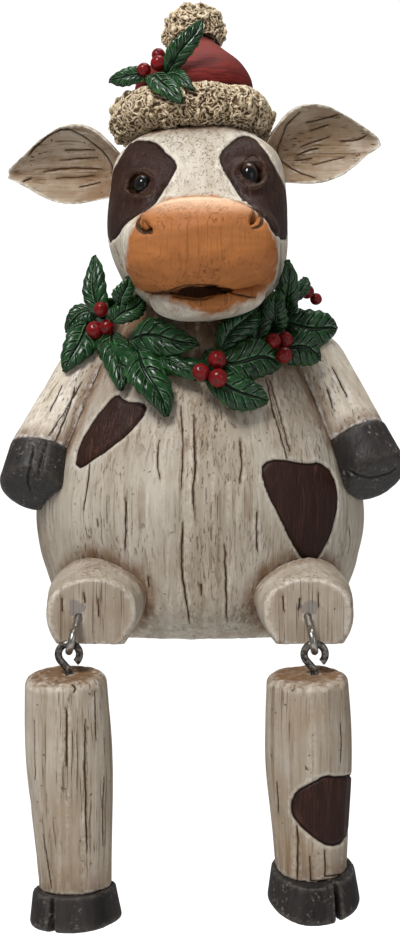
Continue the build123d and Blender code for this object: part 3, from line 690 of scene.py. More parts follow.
def whitewash(tree, shader, turn=(0.0, 0.0, 0.0), pale=0.8, aged=0.15, muzzle=False, glued=False):
    """Whitewashed carved wood, with cracks, patches and brown wash, and painted shade in its hollows and
    where other pieces meet it.
    """
    paint = colours()
    places = object_places(tree)
    grain = effect(tree, "Carved Grain", grain_group, {"Turn": turn})
    cream = toned(paint.cream, pale)
    bone = toned(paint.bone, pale)
    coat = blend(tree, grain["Tone"], opaque(cream), opaque(bone))
    stain = tuple(0.7 * brown + 0.3 * light for brown, light in zip(paint.umber, bone))
    coat = blend(tree, times(tree, grain["Streak"], 0.6 + 0.4 * aged), coat, opaque(stain))
    yellowed = rescale(tree, speckle(tree, places, 75.0, 5.0, 0.6), 0.35, 0.62, 0.35 * aged, aged)
    coat = blend(tree, yellowed, coat, opaque(aged_colour))
    warm_groove = opaque(paint.umber, 0.55)
    hair = calculate(tree, "MULTIPLY", grain["Hair"], 0.12 + 1.4 * aged, clamp=True)
    coat = blend(tree, hair, coat, warm_groove)
    # Brown wash and painted shade darken the hollows and where other pieces meet
    hollow = rescale(tree, stored(tree, "hollow"), 0.03, 0.30)
    coat = washed_and_shaded(tree, coat, opaque(paint.umber), hollow, stored(tree, "shade"))
    brush = tuple(min(lightest_brush, 1.45 * tone) for tone in cream)
    coat = brushed_over(tree, coat, opaque(brush), 0.5)
    if muzzle:
        coat = tan_muzzle(tree, coat, hollow)
    if glued:
        coat = glue_blob(tree, coat)
    streaks = times(tree, grain["Streak"], 0.8)
    streaked = blend(tree, streaks, opaque(paint.patch), opaque(patch_streak_colour))
    patched = effect(tree, "Carved Patch", patch_group, {
        "Color": coat, "Paint": streaked, "Line": opaque(paint.patch, 0.35), "Rim": opaque(cream),
        "Distance": stored(tree, "patch")})
    offset = calculate(tree, "ABSOLUTE", stored(tree, "crack"))
    width = stored(tree, "crack_width")
    halo = times(tree, rescale(tree, offset, 0.05, 0.9, 0.38, 0.0), rescale(tree, width, -1.0, 0.0))
    coat = blend(tree, halo, patched["Color"], warm_groove)
    cracked = falling(tree, calculate(tree, "SUBTRACT", offset, width), -0.05, 0.10)
    coat = blend(tree, times(tree, cracked, 0.93), coat, opaque(paint.umber, 0.30))
    if muzzle:
        coat = blend(tree, falling(tree, stored(tree, "mouth"), -0.35, 0.10), coat, opaque(mouth_colour))
    rough = rescale(tree, grain["Tone"], 0.0, 1.0, 0.50, 0.66)
    rough = calculate(tree, "SUBTRACT", rough, times(tree, patched["Mask"], 0.12))
    cover(tree, shader, coat, rough, 0.16)
    raise_surface(tree, shader, calculate(tree, "SUBTRACT", grain["Height"], cracked), 0.00035)


def horn(tree, shader):
    """Near-black hoof paint with pale scuff marks that are also painted highlights, and cut lines."""
    paint = colours()
    places = object_places(tree)
    grain = effect(tree, "Carved Grain", grain_group, {"Fineness": 1.3})
    coat = blend(tree, grain["Tone"], opaque(paint.hoof), opaque(paint.hoof, 3.2))
    coat = blend(tree, times(tree, grain["Streak"], 0.5), coat, opaque(paint.hoof, 0.4))
    # Pale speckles: scuff marks and painted highlights on the glossy horn
    scuffs_and_highlights = times(tree, rescale(tree, speckle(tree, places, 900.0, 3.0), 0.56, 0.66),
                   rescale(tree, speckle(tree, places, 150.0, 2.0), 0.50, 0.62))
    coat = blend(tree, times(tree, scuffs_and_highlights, 0.7), coat, opaque(horn_scuff_and_highlight_colour))
    coat = brushed_over(tree, coat, opaque(horn_brush_colour), 0.4)
    offset = calculate(tree, "ABSOLUTE", stored(tree, "crack"))
    cut = falling(tree, calculate(tree, "SUBTRACT", offset, stored(tree, "crack_width")), -0.05, 0.12)
    coat = blend(tree, cut, coat, opaque(horn_cut_colour))
    cover(tree, shader, coat, rescale(tree, grain["Tone"], 0.0, 1.0, 0.40, 0.58), 0.25)
    raise_surface(tree, shader, grain["Height"], 0.00016)


def curled_fur(tree, shader):
    """Cream curls with brown wash and painted shade between them."""
    paint = colours()
    places = object_places(tree)
    cloud = rescale(tree, speckle(tree, places, 120.0), 0.35, 0.65)
    coat = blend(tree, cloud, opaque(paint.fur), opaque(paint.fur, 0.72))
    # Brown wash and painted shade in the hollows between the curls
    hollow = rescale(tree, stored(tree, "hollow"), -0.07, 0.10)
    coat = washed_and_shaded(tree, coat, opaque(paint.umber, 0.3), hollow, stored(tree, "shade"))
    coat = brushed_over(tree, coat, opaque(fur_brush_colour), 0.85)
    cover(tree, shader, coat, rescale(tree, cloud, 0.0, 1.0, 0.55, 0.7), 0.2)
    raise_surface(tree, shader, speckle(tree, places, 1400.0), 0.00018)


def felt(tree, shader):
    """Red felt, combed level, with a pink painted highlight towards its top and painted shade where the brim
    and bobble meet it.
    """
    paint = colours()
    places = object_places(tree)
    combed = stretched(tree, places, (0.14, 0.14, 1.0))
    line = speckle(tree, combed, 1100.0, 4.0, 0.6, 0.5)
    coat = blend(tree, rescale(tree, line, 0.42, 0.62), opaque(paint.felt), opaque(paint.felt, 2.4))
    rise = add_node(tree, "ShaderNodeSeparateXYZ", None, {"Vector": places}).outputs["Z"]
    # A pink painted highlight towards the crown's top
    top_highlight = rescale(tree, calculate(tree, "ADD", rise, times(tree, line, 0.006)), 0.172, 0.192)
    coat = blend(tree, times(tree, top_highlight, 0.50), coat, opaque(felt_highlight_colour))
    # Near-black painted shade where the brim and bobble meet the crown
    coat = washed_and_shaded(tree, coat, opaque(felt_shade_colour), 0.0, stored(tree, "shade"))
    cover(tree, shader, coat, rescale(tree, line, 0.3, 0.7, 0.5, 0.7), 0.08)
    raise_surface(tree, shader, line, 0.00035)


def vein_group():
    """The veins of a leaf: dark cuts, the pale brushed line beside each, which is also a painted highlight on
    the ridge, and their depth.
    """
    tree, given, result = new_group("Leaf Veins", {"Along": 0.0, "Across": 0.0}, ("Cut", "Line", "Height"))
    places = object_places(tree)
    waver = rescale(tree, speckle(tree, places, 230.0, 2.0), 0.2, 0.8, -0.13, 0.13)
    out = calculate(tree, "ABSOLUTE", given["Across"])
    slanted = times(tree, out, leaf_vein_slant)
    phase = calculate(tree, "SUBTRACT", times(tree, given["Along"], leaf_veins), slanted)
    phase = calculate(tree, "ADD", phase, waver)
    wrapped = calculate(tree, "FRACT", calculate(tree, "ADD", phase, 0.5))
    apart = calculate(tree, "ABSOLUTE", calculate(tree, "SUBTRACT", wrapped, 0.5))
    fade = rescale(tree, out, 0.72, 0.95, 1.0, 0.25)
    side_vein = times(tree, falling(tree, apart, 0.05, 0.13), fade)
    cut = larger(tree, side_vein, falling(tree, out, 0.035, 0.09))
    beside = times(tree, rescale(tree, apart, 0.12, 0.15), falling(tree, apart, 0.17, 0.22))
    beside = times(tree, times(tree, beside, rescale(tree, out, 0.10, 0.2)), fade)
    beside_rib = times(tree, rescale(tree, out, 0.09, 0.12), falling(tree, out, 0.14, 0.18))
    broken = rescale(tree, speckle(tree, places, 520.0, 3.0), 0.40, 0.56)
    tree.links.new(cut, result["Cut"])
    tree.links.new(times(tree, larger(tree, beside, beside_rib), broken), result["Line"])
    tree.links.new(times(tree, cut, -1.0), result["Height"])
    return tree


def leaf_green(tree, shader, brushed):
    """Glossy dark green with cut veins, and pale lines brushed beside them and along the edges that are also
    painted highlights.
    """
    paint = colours()
    places = object_places(tree)
    cloud = rescale(tree, speckle(tree, places, 160.0), 0.35, 0.65)
    coat = blend(tree, cloud, opaque(paint.leaf), opaque(paint.leaf, 2.8))
    across = stored(tree, "across")
    veins = effect(tree, "Leaf Veins", vein_group, {"Along": stored(tree, "along"), "Across": across})
    # Paler green along the edges: brushed paint and a painted highlight
    edge_highlight = rescale(tree, calculate(tree, "ABSOLUTE", across), 0.80, 1.0)
    edge_highlight = times(tree, edge_highlight, rescale(tree, speckle(tree, places, 200.0), 0.45, 0.65))
    coat = blend(tree, times(tree, edge_highlight, brushed), coat, opaque(leaf_edge_highlight_colour))
    coat = blend(tree, times(tree, veins["Cut"], 0.9), coat, opaque(leaf_cut_colour))
    # Pale lines beside the veins: brushed paint and a painted highlight on the ridges
    coat = blend(tree, times(tree, veins["Line"], brushed), coat, opaque(leaf_brush_highlight_colour))
    cover(tree, shader, coat, rescale(tree, cloud, 0.0, 1.0, 0.20, 0.34), 0.35)
    raise_surface(tree, shader, veins["Height"], 0.0004)


def glossy_berry(tree, shader):
    paint = colours()
    cloud = rescale(tree, speckle(tree, object_places(tree), 420.0), 0.35, 0.65)
    coat = blend(tree, cloud, opaque(paint.berry), opaque(paint.berry, 0.6))
    coat = blend(tree, stored(tree, "vein"), coat, opaque(dimple_colour))
    cover(tree, shader, coat, rescale(tree, cloud, 0.0, 1.0, 0.22, 0.34), 0.15)
    shader.inputs["Coat Weight"].default_value = 0.2
    shader.inputs["Coat Roughness"].default_value = 0.06


def bead(tree, shader):
    """A black glass bead with a brown iris."""
    ring = rescale(tree, stored(tree, "iris"), 0.2, 0.8)
    coat = blend(tree, ring, opaque(pupil_colour), opaque(iris_colour))
    gloss = rescale(tree, speckle(tree, object_places(tree), 500.0), 0.3, 0.7, 0.06, 0.14)
    cover(tree, shader, coat, gloss)
    shader.inputs["IOR"].default_value = 1.38


def wire(tree, shader, tarnish):
    """Plated steel with darker spots, more of them the more it is tarnished."""
    places = object_places(tree)
    spots = speckle(tree, places, 700.0, 5.0, 0.65)
    spots = rescale(tree, spots, 0.62 - 0.4 * tarnish, 0.80 - 0.3 * tarnish)
    coat = blend(tree, spots, opaque(colours().steel), opaque(tarnish_colour))
    cover(tree, shader, coat, rescale(tree, spots, 0.0, 1.0, 0.28, 0.6))
    shader.inputs["Metallic"].default_value = 1.0
    raise_surface(tree, shader, speckle(tree, places, 1500.0, 3.0), 0.00004)


def pale_floor(tree, shader):
    """Matt white that also glows for the camera alone."""
    shader.inputs["Base Color"].default_value = (0.9, 0.9, 0.9, 1.0)
    shader.inputs["Roughness"].default_value = 0.9
    shader.inputs["Emission Color"].default_value = (1.0, 1.0, 1.0, 1.0)
    seen = add_node(tree, "ShaderNodeLightPath").outputs["Is Camera Ray"]
    tree.links.new(rescale(tree, seen, 0.0, 1.0, 0.0, 0.9), shader.inputs["Emission Strength"])


# Carving
def near(piece, reach, *things):
    """A share for each point of a piece: one where it touches the others, and nothing a
    reach away from them."""
    return ramp(-gap_to(places_of(piece), tree_of(*things), reach), -reach, 0.0)


def carve_wood(piece, seed, flute, patches=(), cracks=(), axis=None, turn=None):
    """Cuts flutes, cracks and patch lines in a piece and stores what the paint needs."""
    places = places_of(piece)
    drawing = Drawing(piece, axis, line_waver)
    patch = drawing.patch(patches)
    offset, width = drawing.cracks(cracks)
    # A crack drawn on the front doesn't come out again at the back
    width[normals_of(piece)[:, 1] > 0.5] = no_crack
    width += 0.06 * noise_at(places, 0.45 / millimetre, seed)
    turned = places if turn is None else places @ np.array(turn.to_matrix()).T
    long_flutes = noise_at(turned, long_flute_counts, seed)
    short_cuts = noise_at(turned, short_cut_counts, seed + 7.0)
    heights = sizes().flute_depth * flute * (long_flutes + 0.6 * short_cuts)
    heights -= sizes().crack_depth * ramp(width - np.abs(offset), -0.35, 0.25)
    heights -= sizes().patch_line_depth * ramp(patch, -0.75, -0.1) * ramp(-patch, -0.75, -0.1)
    push(piece, heights)
    keep(piece, "patch", patch)
    keep(piece, "crack", offset)
    keep(piece, "crack_width", width)
    keep(piece, "hollow", hollow_of(piece, 6) + 0.5 * hollow_of(piece, 24))


# How the visible shapes depart from the frame's: the thighs' tops are lower, the head's
# cheek and crest are fuller, its chin is drawn in and its lids, muzzle and mouth are
# carved, and the hat's band and bobble are higher
thigh_drop = 0.0052
thigh_drop_share = 0.35
cheek_level = 0.1235
cheek_swell = 0.0017
crest_level = 0.150
crest_swell = 0.0026
chin_lift = 0.0015
chin_narrowing_share = 0.05
lid_height = 0.0007
lid_groove = 0.0003
muzzle_swell = 0.0006
mouth_depth = 0.0010
band_rise = 0.0022
band_edge_rise = 0.0016
band_tuck = 0.0012
bobble_growth = 1.03
bobble_shift = np.array((0.0007, 0.0, 0.0031))
lump_height = 0.0007
fold_height = 0.0007
# Half the width and height of each eye that shows
eye_sizes = {"left": (0.0030, 0.0042), "right": (0.0027, 0.0034)}
# How many times each fore hoof is smoothed, and how pale and how aged each lower leg is; the left leg's
# darker, browner paint is painted shade
hoof_rounding = {"left": 60, "right": 14}
leg_paints = {"left": (0.74, 0.5), "right": (0.84, 0.38)}
# What an arm's box holds besides its lean
arm_breadth = 0.018
arm_end = 0.010
# Where a wire eye enters its thigh, and how far the glue round it reaches
shank_below_top = 0.0015
glue_depth = 0.003
# Heights between which the body takes a painted shadow towards its neck, under the garland, and
# the muzzle's painted highlight on its ridge sets in, and depths between which a thigh darkens
# towards its underside
neck_shadow = (0.070, 0.094)
shoulder_shadow = (0.045, 0.078)
ridge_highlight_start = (0.1245, 0.1335)
underside_darkening = (-0.006, 0.001)
# How far the brown stain and painted shade reach up from a hoof, over a thigh and out along an ear
shank_stain_and_shade_reach = 12.0 * millimetre
thigh_stain_and_shade_reach = 7.0 * millimetre
ear_stain_and_shade_reach = 15.0 * millimetre

# Places on the photograph, in pixels
belly_patches_pixels = [
    [(117, 394), (123, 402), (142, 402.6), (147, 410), (127, 434), (97, 457), (74, 470), (79, 444), (94, 419),
     (107, 403)],
    [(261.5, 469), (270, 460), (288, 461), (306, 465), (321, 462.5), (334, 474), (339, 500), (332, 533),
     (319, 558), (309, 563), (298.5, 553), (283, 522), (268, 492)],
]
# Half the width of each crack in millimetres, then its run
belly_cracks_pixels = [
    (0.24, [(194.5, 415), (194, 440), (195.5, 466), (193, 490), (193.5, 512)]),
    (0.26, [(183, 522), (181.5, 548), (182, 575), (186, 600), (190, 624)]),
    (0.20, [(224.5, 545), (226, 580), (227, 622)]),
    (0.18, [(125, 497), (126, 525), (125, 553)]),
    (0.16, [(257, 510), (256, 530), (257.5, 553)]),
    (0.17, [(266, 378), (273, 410), (279, 430), (287, 459)]),
    (0.13, [(270, 380), (280, 415), (290, 452)]),
    (0.20, [(89, 464), (88, 480), (83, 510)]),
    (0.14, [(349, 527), (350, 540), (348, 553)]),
    (0.13, [(181, 405), (183, 450), (181, 490)]),
    (0.15, [(97, 518), (98, 528)]),
    (0.14, [(148, 576), (149, 587)]),
    (0.16, [(201, 584), (201.5, 595)]),
    (0.12, [(159, 440), (157, 462), (160, 480)]),
    (0.12, [(240, 440), (242, 460), (240, 485)]),
]
leg_patches_pixels = {
    "right": [],
    "left": [[(291, 805), (296, 792), (311, 784), (326, 776), (339, 778), (356, 774), (366, 784), (368, 806),
              (360, 828), (347, 835), (337, 846), (324, 844), (303, 829), (292, 814)]],
}
leg_cracks_pixels = {
    "right": [(0.20, [(66, 707), (67, 735), (66, 767)]), (0.22, [(86, 720), (85, 760), (86, 800), (87, 852)]),
              (0.15, [(43, 835), (47, 862), (51, 888)]), (0.17, [(104, 777), (103, 810), (104, 846)]),
              (0.2, [(72, 684), (76, 688), (73, 693)]), (0.12, [(34, 720), (35, 780)]),
              (0.12, [(95, 690), (96, 740)])],
    "left": [(0.16, [(277, 782), (278, 814)]), (0.18, [(297, 824), (298, 850), (297, 880)]),
             (0.17, [(341, 722), (342, 745), (341, 762)]), (0.12, [(310, 855), (311, 890)]),
             (0.13, [(325, 850), (326, 885)])],
}
hoof_lines_pixels = {
    "right": [(0.35, [(34, 444), (31, 460), (27, 480), (31, 491)])],
    "left": [(0.35, [(347, 469), (358, 476), (374, 478), (389, 474), (397, 468)])],
}
thigh_cracks_pixels = {
    "right": [(0.12, [(62, 598), (63, 612)]), (0.12, [(98, 598), (99, 616)]),
              (0.12, [(84, 592), (85, 604)])],
    "left": [(0.12, [(283, 596), (284, 612)]), (0.12, [(318, 592), (319, 608)]),
             (0.12, [(300, 598), (299, 610)])],
}
arm_cracks_pixels = {
    "right": [(0.20, [(75, 387), (70, 406), (64, 421.6), (55, 442)]),
              (0.13, [(81.6, 382), (67, 408), (48.5, 437)]), (0.14, [(62, 385), (50, 412)])],
    "left": [(0.14, [(332, 366), (339.8, 381), (347.4, 398)]), (0.12, [(327, 388.5), (333, 409)]),
             (0.14, [(357.6, 375.7), (362.7, 382)])],
}
ear_cracks_pixels = {
    "right": [(0.09, [(66, 128), (81, 134.8), (99.5, 148), (110, 160), (113.6, 170), (112, 180)]),
              (0.15, [(43, 172), (65.5, 168), (86, 168), (103.6, 169.6)]),
              (0.12, [(78.8, 187), (90, 185), (100.3, 182)]),
              (0.19, [(28, 156), (39.8, 143), (58, 130), (71, 130)]), (0.15, [(22.4, 181.6), (32.3, 178)]),
              (0.08, [(60, 160), (98, 158)]), (0.08, [(56, 178), (96, 176)]), (0.07, [(64, 150), (95, 150)])],
    "left": [(0.09, [(300, 112), (288, 123), (279, 143), (277, 158), (297, 172), (316.5, 178)]),
             (0.15, [(296.5, 155.6), (308, 150.6), (319, 149)]),
             (0.14, [(295, 160.5), (304, 160), (313, 158)]),
             (0.11, [(309.8, 130.7), (320, 128), (329.7, 124.9)]),
             (0.11, [(306.5, 123), (322, 119), (338, 114.9)]),
             (0.14, [(339.7, 141.5), (350, 141), (360.4, 139.8), (367, 134.8)]),
             (0.07, [(312, 165), (345, 157)]), (0.07, [(300, 147), (330, 137)])],
}
eye_patches_pixels = [
    [(129, 141), (146, 140), (156.5, 143), (166, 154), (176, 163), (175, 170.5), (166, 184), (152, 206),
     (138, 215), (124, 223), (117, 236), (107, 244), (100, 232), (101, 206), (108, 178), (120, 158)],
    [(220, 154), (230, 143), (242, 135), (253, 136), (261, 144.5), (270, 158), (280, 176), (291, 196),
     (295, 215), (293, 235), (283, 240), (274, 233), (267, 218), (253, 206), (241, 196.5), (231.5, 181),
     (222, 164)],
]
muzzle_pixels = [
    (163, 201), (187, 196.5), (215, 196.5), (241, 203), (258, 210), (268, 218), (276, 242), (277, 265),
    (272, 283), (256, 298), (228, 308), (212, 313), (203, 312), (189, 306), (172, 298), (144, 293),
    (131, 281), (127, 258), (130.5, 235), (138, 218), (150, 210),
]
mouth_pixels = [
    (166, 293), (177, 289), (187, 285), (200, 284.5), (212, 286), (222, 291.5), (213, 296.4), (199, 299.7),
    (184, 297.4),
]
face_lines_pixels = [
    (0.22, [(143.7, 292.6), (155, 293.5), (166, 293), (177, 289), (187, 285.5), (200, 285), (212, 286.5),
            (222, 291)]),
    (0.14, [(172, 296), (184, 298), (199, 300), (213, 297)]),
    (0.22, [(220, 291), (228, 291.6), (241, 295.5), (256.5, 297.4)]),
    (0.65, [(141, 215), (137, 222), (139, 230), (147, 233), (152, 229)]),
    (0.65, [(249, 206), (258, 210), (263, 217), (261, 226), (252, 228)]),
    (0.16, [(131, 184), (136, 172), (145, 168), (153.5, 176)]),
    (0.16, [(240, 172), (246, 157), (256, 154.5), (265, 168)]),
    (0.12, [(132, 188), (141, 195), (152, 192)]),
    (0.12, [(243, 182), (252, 189), (264, 184)]),
]
# Base, tip and width of each garland leaf, then how far base and tip stand ahead of
# what is behind them in millimetres, the turn of the blade and which way it curls
garland_leaves_pixels = [
    ((103, 318), (93, 256), 25, 3.0, 5.0, -25, 0.10),
    ((98, 309), (65, 330), 27, 4.0, 3.0, -30, 0.14),
    ((94, 318), (65, 371), 34, 4.0, 3.0, -20, 0.10),
    ((113, 322), (146, 296), 25, 5.0, 4.0, 20, 0.18),
    ((114, 332), (121, 389), 33, 5.0, 4.5, -5, 0.12),
    ((130, 341), (198, 343), 37, 6.0, 6.0, 5, 0.16),
    ((137, 350), (166, 416), 39, 5.0, 3.5, 5, 0.16),
    ((155, 357), (197, 378), 21, 4.0, 5.0, 10, 0.10),
    ((206, 380), (268, 402), 38, 5.5, 4.0, 5, 0.14),
    ((222, 362), (281, 364), 42, 6.0, 5.0, 0, 0.14),
    ((222, 350), (259, 307), 31, 4.0, 5.5, -10, 0.12),
    ((268, 335), (280, 290), 27, 4.0, 6.0, 5, 0.12),
    ((285, 322), (287, 261), 26, 3.5, 7.0, 10, 0.12),
    ((283, 325), (337, 330), 43, 6.0, 4.0, 20, 0.14),
    ((281, 345), (321, 358), 38, 6.0, 5.0, 15, 0.14),
    ((296, 300), (306, 277), 16, 3.0, 6.0, 10, 0.10),
    ((255, 340), (264, 300), 24, 4.5, 5.0, -5, 0.14),
    ((120, 305), (128, 277), 20, 3.0, 3.0, 20, 0.12),
    ((205, 352), (242, 372), 24, 3.5, 4.5, 0, 0.12),
]
# Middle and radius of each berry, then how far its middle stands ahead
berries_pixels = {
    "wreath_right_berries": [(95, 330, 9, 9.0), (101, 309, 7.5, 8.0), (107, 327, 8, 11.0)],
    "wreath_front_berries": [(201, 372, 8.8, 9.5), (217, 359.6, 9.4, 9.5), (218, 378, 9.6, 10.0)],
    "wreath_left_berries": [(273, 341, 8, 10.0), (285, 339.5, 8, 11.5), (284, 355, 8.3, 11.0)],
    "wreath_side_berries": [(307, 291.6, 7.2, 5.0), (316, 299, 6, 3.0)],
}
holly_leaves_pixels = [
    ((167, 73), (201, 20), 25, 3.0, 7.0, 28, 0.10),
    ((150, 77), (109, 80), 20, 3.0, 3.0, -25, 0.16),
    ((150, 76), (181, 102), 25, 3.0, 3.5, 5, 0.16),
    ((165, 75), (194, 89), 17, 2.5, 3.0, 15, 0.14),
]
holly_middle_pixels = (152, 78)
holly_berries_pixels = [(158.5, 55.0, 7.0, 1.0), (158.4, 63.0, 8.0, 5.0), (144.0, 69.6, 7.0, 3.0)]

# The garland's ring, and the leaves at its back by the heading of each
ring_middle = Vector((0.0, -0.005, 0.0941))
ring_tilt_degrees = 22.7
ring_radius = 0.0335
collar_radius = 0.031
back_leaf_degrees = (84, 104, 124, 146, 168, 190, 212, 234, 256, 276)
back_leaf_length = 0.021
back_leaf_width = 0.0105

# The stage: each lamp's name, place, width and power
floor_place = (0.0, 1.0, -0.34)
floor_size = 8.0
world_strengths = (0.26, 1.1)
sensor_height_mm = 36.0
lamp_target = Vector((0.0, 0.0, 0.06))
lamps = (
    ("key", (-0.42, -0.72, 0.98), 0.45, 15.5),
    ("fill", (0.9, -0.9, 0.30), 0.9, 2.2),
    ("top", (0.1, 0.25, 1.1), 0.6, 5.0),
)


class CastBody(bpy.types.Operator):
    """Carves and paints the pear-shaped body"""
    bl_idname = "cow.cast_body"
    bl_label = "Body"

    def execute(self, context):
        piece = clay(copy_of("body_cast", "torso"), body_voxel, 3)
        carve_wood(piece, 1.0, 1.2, belly_patches_pixels, belly_cracks_pixels, (0.0, 0.0))
        rise = places_of(piece)[:, 2]
        # A painted shadow towards the neck under the garland, and brown wash with painted shade under the
        # arms
        collar = ramp(rise, *neck_shadow) * 0.9 + ramp(rise, *shoulder_shadow) * 0.25
        armpits = near(piece, stain_and_shade_reach, cad_node("left_arm"), cad_node("right_arm")) * 1.2
        keep(piece, "shade", np.maximum(collar, armpits))
        finish_piece(piece, painted("carved_wood", whitewash), "body", "whitewash", "torso")
        return {"FINISHED"}


class CastThighs(bpy.types.Operator):
    """Carves and paints the two log stumps of the thighs"""
    bl_idname = "cow.cast_thighs"
    bl_label = "Thighs"

    def execute(self, context):
        cast = bpy.data.objects["body_cast"]
        for side, sign in sides.items():
            low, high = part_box(f"{side}_thigh")
            piece = clay(copy_of(f"{side}_thigh_log", f"{side}_thigh"), limb_voxel, 2)
            places = places_of(piece)
            start = low.z + thigh_drop_share * (high.z - low.z)
            places[:, 2] -= thigh_drop * ramp(places[:, 2], start, high.z)
            set_places(piece, places)
            carve_wood(piece, 3.0 + sign, 1.0, cracks=thigh_cracks_pixels[side])
            places = places_of(piece)
            sawn_face = ramp(-normals_of(piece)[:, 1], 0.90, 0.99) * 0.36
            # Darker towards the underside, and brown wash with painted shade where the thigh meets the body
            shade = np.maximum(ramp(-places[:, 2], *underside_darkening) * 0.5, sawn_face)
            keep(piece, "shade", np.maximum(shade, near(piece, thigh_stain_and_shade_reach, cad_node("torso"))))
            shank_low, shank_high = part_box(f"{side}_thigh_eye")
            beside = places[:, 0] - (shank_low.x + shank_high.x) / 2
            away = np.hypot(beside, places[:, 2] - shank_high.z + shank_below_top)
            keep(piece, "glue", ramp(-away, -0.0034, -0.0012) * (places[:, 1] < low.y + glue_depth))
            paint = painted("whitewash_thigh", whitewash, aged=0.3, glued=True)
            finish_piece(piece, paint, "body", "whitewash", f"{side}_thigh")
            # The body takes brown wash and painted shade too where the thigh joins it
            joint = near(cast, 5.5 * millimetre, piece) * 1.25
            keep(cast, "shade", np.maximum(kept(cast, "shade"), joint))
        return {"FINISHED"}


class CastArms(bpy.types.Operator):
    """Carves and paints the arms and their hooves"""
    bl_idname = "cow.cast_arms"
    bl_label = "Arms"

    def execute(self, context):
        for side, sign in sides.items():
            low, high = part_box(f"{side}_arm")
            lean = math.atan2(high.x - low.x - arm_breadth, high.z - low.z - arm_end) * sign
            turn = Matrix.Rotation(lean, 3, "Y").to_euler()
            piece = clay(copy_of(f"{side}_arm_log", f"{side}_arm"), limb_voxel, 2)
            # Brown wash and painted shade where the arm meets the body and its hoof
            shade = near(piece, stain_and_shade_reach, cad_node("torso"), cad_node(f"{side}_fore_hoof"))
            keep(piece, "shade", shade * 1.15)
            carve_wood(piece, 5.0 + sign, 1.6, cracks=arm_cracks_pixels[side], turn=turn)
            # The arms' cream is paler than the body's: a painted highlight on their upward-facing tops
            paint = painted(f"whitewash_{side}_arm", whitewash, turn=tuple(turn), pale=1.3)
            finish_piece(piece, paint, "body", "whitewash", f"{side}_arm")
            shoe = copy_of(f"{side}_fore_hoof_horn", f"{side}_fore_hoof")
            clay(shoe, hoof_voxel, hoof_rounding[side])
            carve_wood(shoe, 8.0 + sign, 0.6, cracks=hoof_lines_pixels[side], turn=turn)
            finish_piece(shoe, painted("horn", horn), "body", "hoof", f"{side}_fore_hoof")
        return {"FINISHED"}


class CastLegs(bpy.types.Operator):
    """Carves and paints the hanging lower legs and their hooves"""
    bl_idname = "cow.cast_legs"
    bl_label = "Lower legs"

    def execute(self, context):
        for side, sign in sides.items():
            low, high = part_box(f"{side}_leg")
            middle = (low + high) / 2
            piece = clay(copy_of(f"{side}_leg_log", f"{side}_leg"), limb_voxel, 2)
            carve_wood(piece, 11.0 + sign, 1.4, leg_patches_pixels[side], leg_cracks_pixels[side],
                       (middle.x, middle.y))
            places = places_of(piece)
            chips = 0.0022 * noise_at(places, 0.5 / millimetre, 2.0)
            top = ramp(places[:, 2] + chips, high.z - 0.0060, high.z - 0.0025) * 1.3
            # Brown wash and painted shade up from the hoof
            bottom = near(piece, shank_stain_and_shade_reach, cad_node(f"{side}_hoof")) * 0.6
            keep(piece, "shade", np.maximum(top, bottom))
            # The left leg's darker, browner paint is painted shade
            pale, aged = leg_paints[side]
            paint = painted(f"whitewash_{side}_leg", whitewash, pale=pale, aged=aged)
            finish_piece(piece, paint, f"{side}_leg", "whitewash", f"{side}_leg")
            shoe = clay(copy_of(f"{side}_hoof_horn", f"{side}_hoof"), hoof_voxel, 2)
            carve_wood(shoe, 14.0 + sign, 0.6)
            finish_piece(shoe, painted("horn", horn), f"{side}_leg", "hoof", f"{side}_hoof")
        return {"FINISHED"}


def shape_head(piece, eyes):
    """Raises the eyelids, fills out cheek and crest and draws in the chin."""
    places = places_of(piece)
    heights = np.zeros(len(places))
    front = normals_of(piece)[:, 1] < 0.0
    for centre in eyes.values():
        away = (places - np.array(centre)) / millimetre
        reach = np.hypot(away[:, 0] * 0.85, away[:, 2] * 0.95)
        lid = np.exp(-((reach - 4.2) / 1.0) ** 2) * lid_height
        hollow = np.exp(-((reach - 6.4) / 1.4) ** 2) * lid_groove
        heights += np.where(front, lid - hollow, 0.0)
    push(piece, heights)
    places = places_of(piece)
    cheek = ramp(-places[:, 0], 0.008, 0.024) * np.exp(-((places[:, 2] - cheek_level) / 0.013) ** 2)
    places[:, 0] -= cheek_swell * cheek
    crest = np.exp(-((places[:, 2] - crest_level) / 0.010) ** 2) * ramp(np.abs(places[:, 0]), 0.008, 0.020)
    places[:, 0] += crest_swell * crest * np.sign(places[:, 0])
    jaw = ramp(-places[:, 2], -0.1075, -0.097) * ramp(-places[:, 1], 0.0, 0.015)
    places[:, 2] += chin_lift * jaw
    places[:, 0] *= 1.0 - chin_narrowing_share * jaw
    set_places(piece, places)


def shape_bead(side, centre):
    """An eyeball drawn out to a tall ellipsoid, with its iris marked."""
    low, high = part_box(f"{side}_eyeball")
    radius = (high - low).x / 2
    deselect_all()
    bpy.ops.mesh.primitive_uv_sphere_add(segments=48, ring_count=24, radius=radius, location=centre,
                                         rotation=(math.radians(90.0), 0.0, 0.0))
    ball = bpy.context.active_object
    ball.name = f"{side}_eye_bead"
    bpy.ops.object.transform_apply(location=True, rotation=True, scale=True)
    bpy.ops.object.shade_smooth()
    wide, tall = eye_sizes[side]
    places = places_of(ball) - np.array(centre)
    places = np.array(centre) + places * (wide / radius, 1.0, tall / radius)
    set_places(ball, places)
    spread = np.hypot(places[:, 0] - centre.x, places[:, 2] - centre.z) / radius
    keep(ball, "iris", ramp(spread, 0.62, 0.8))
    apply_modifier(ball, "SUBSURF", levels=1, render_levels=1)
    return ball


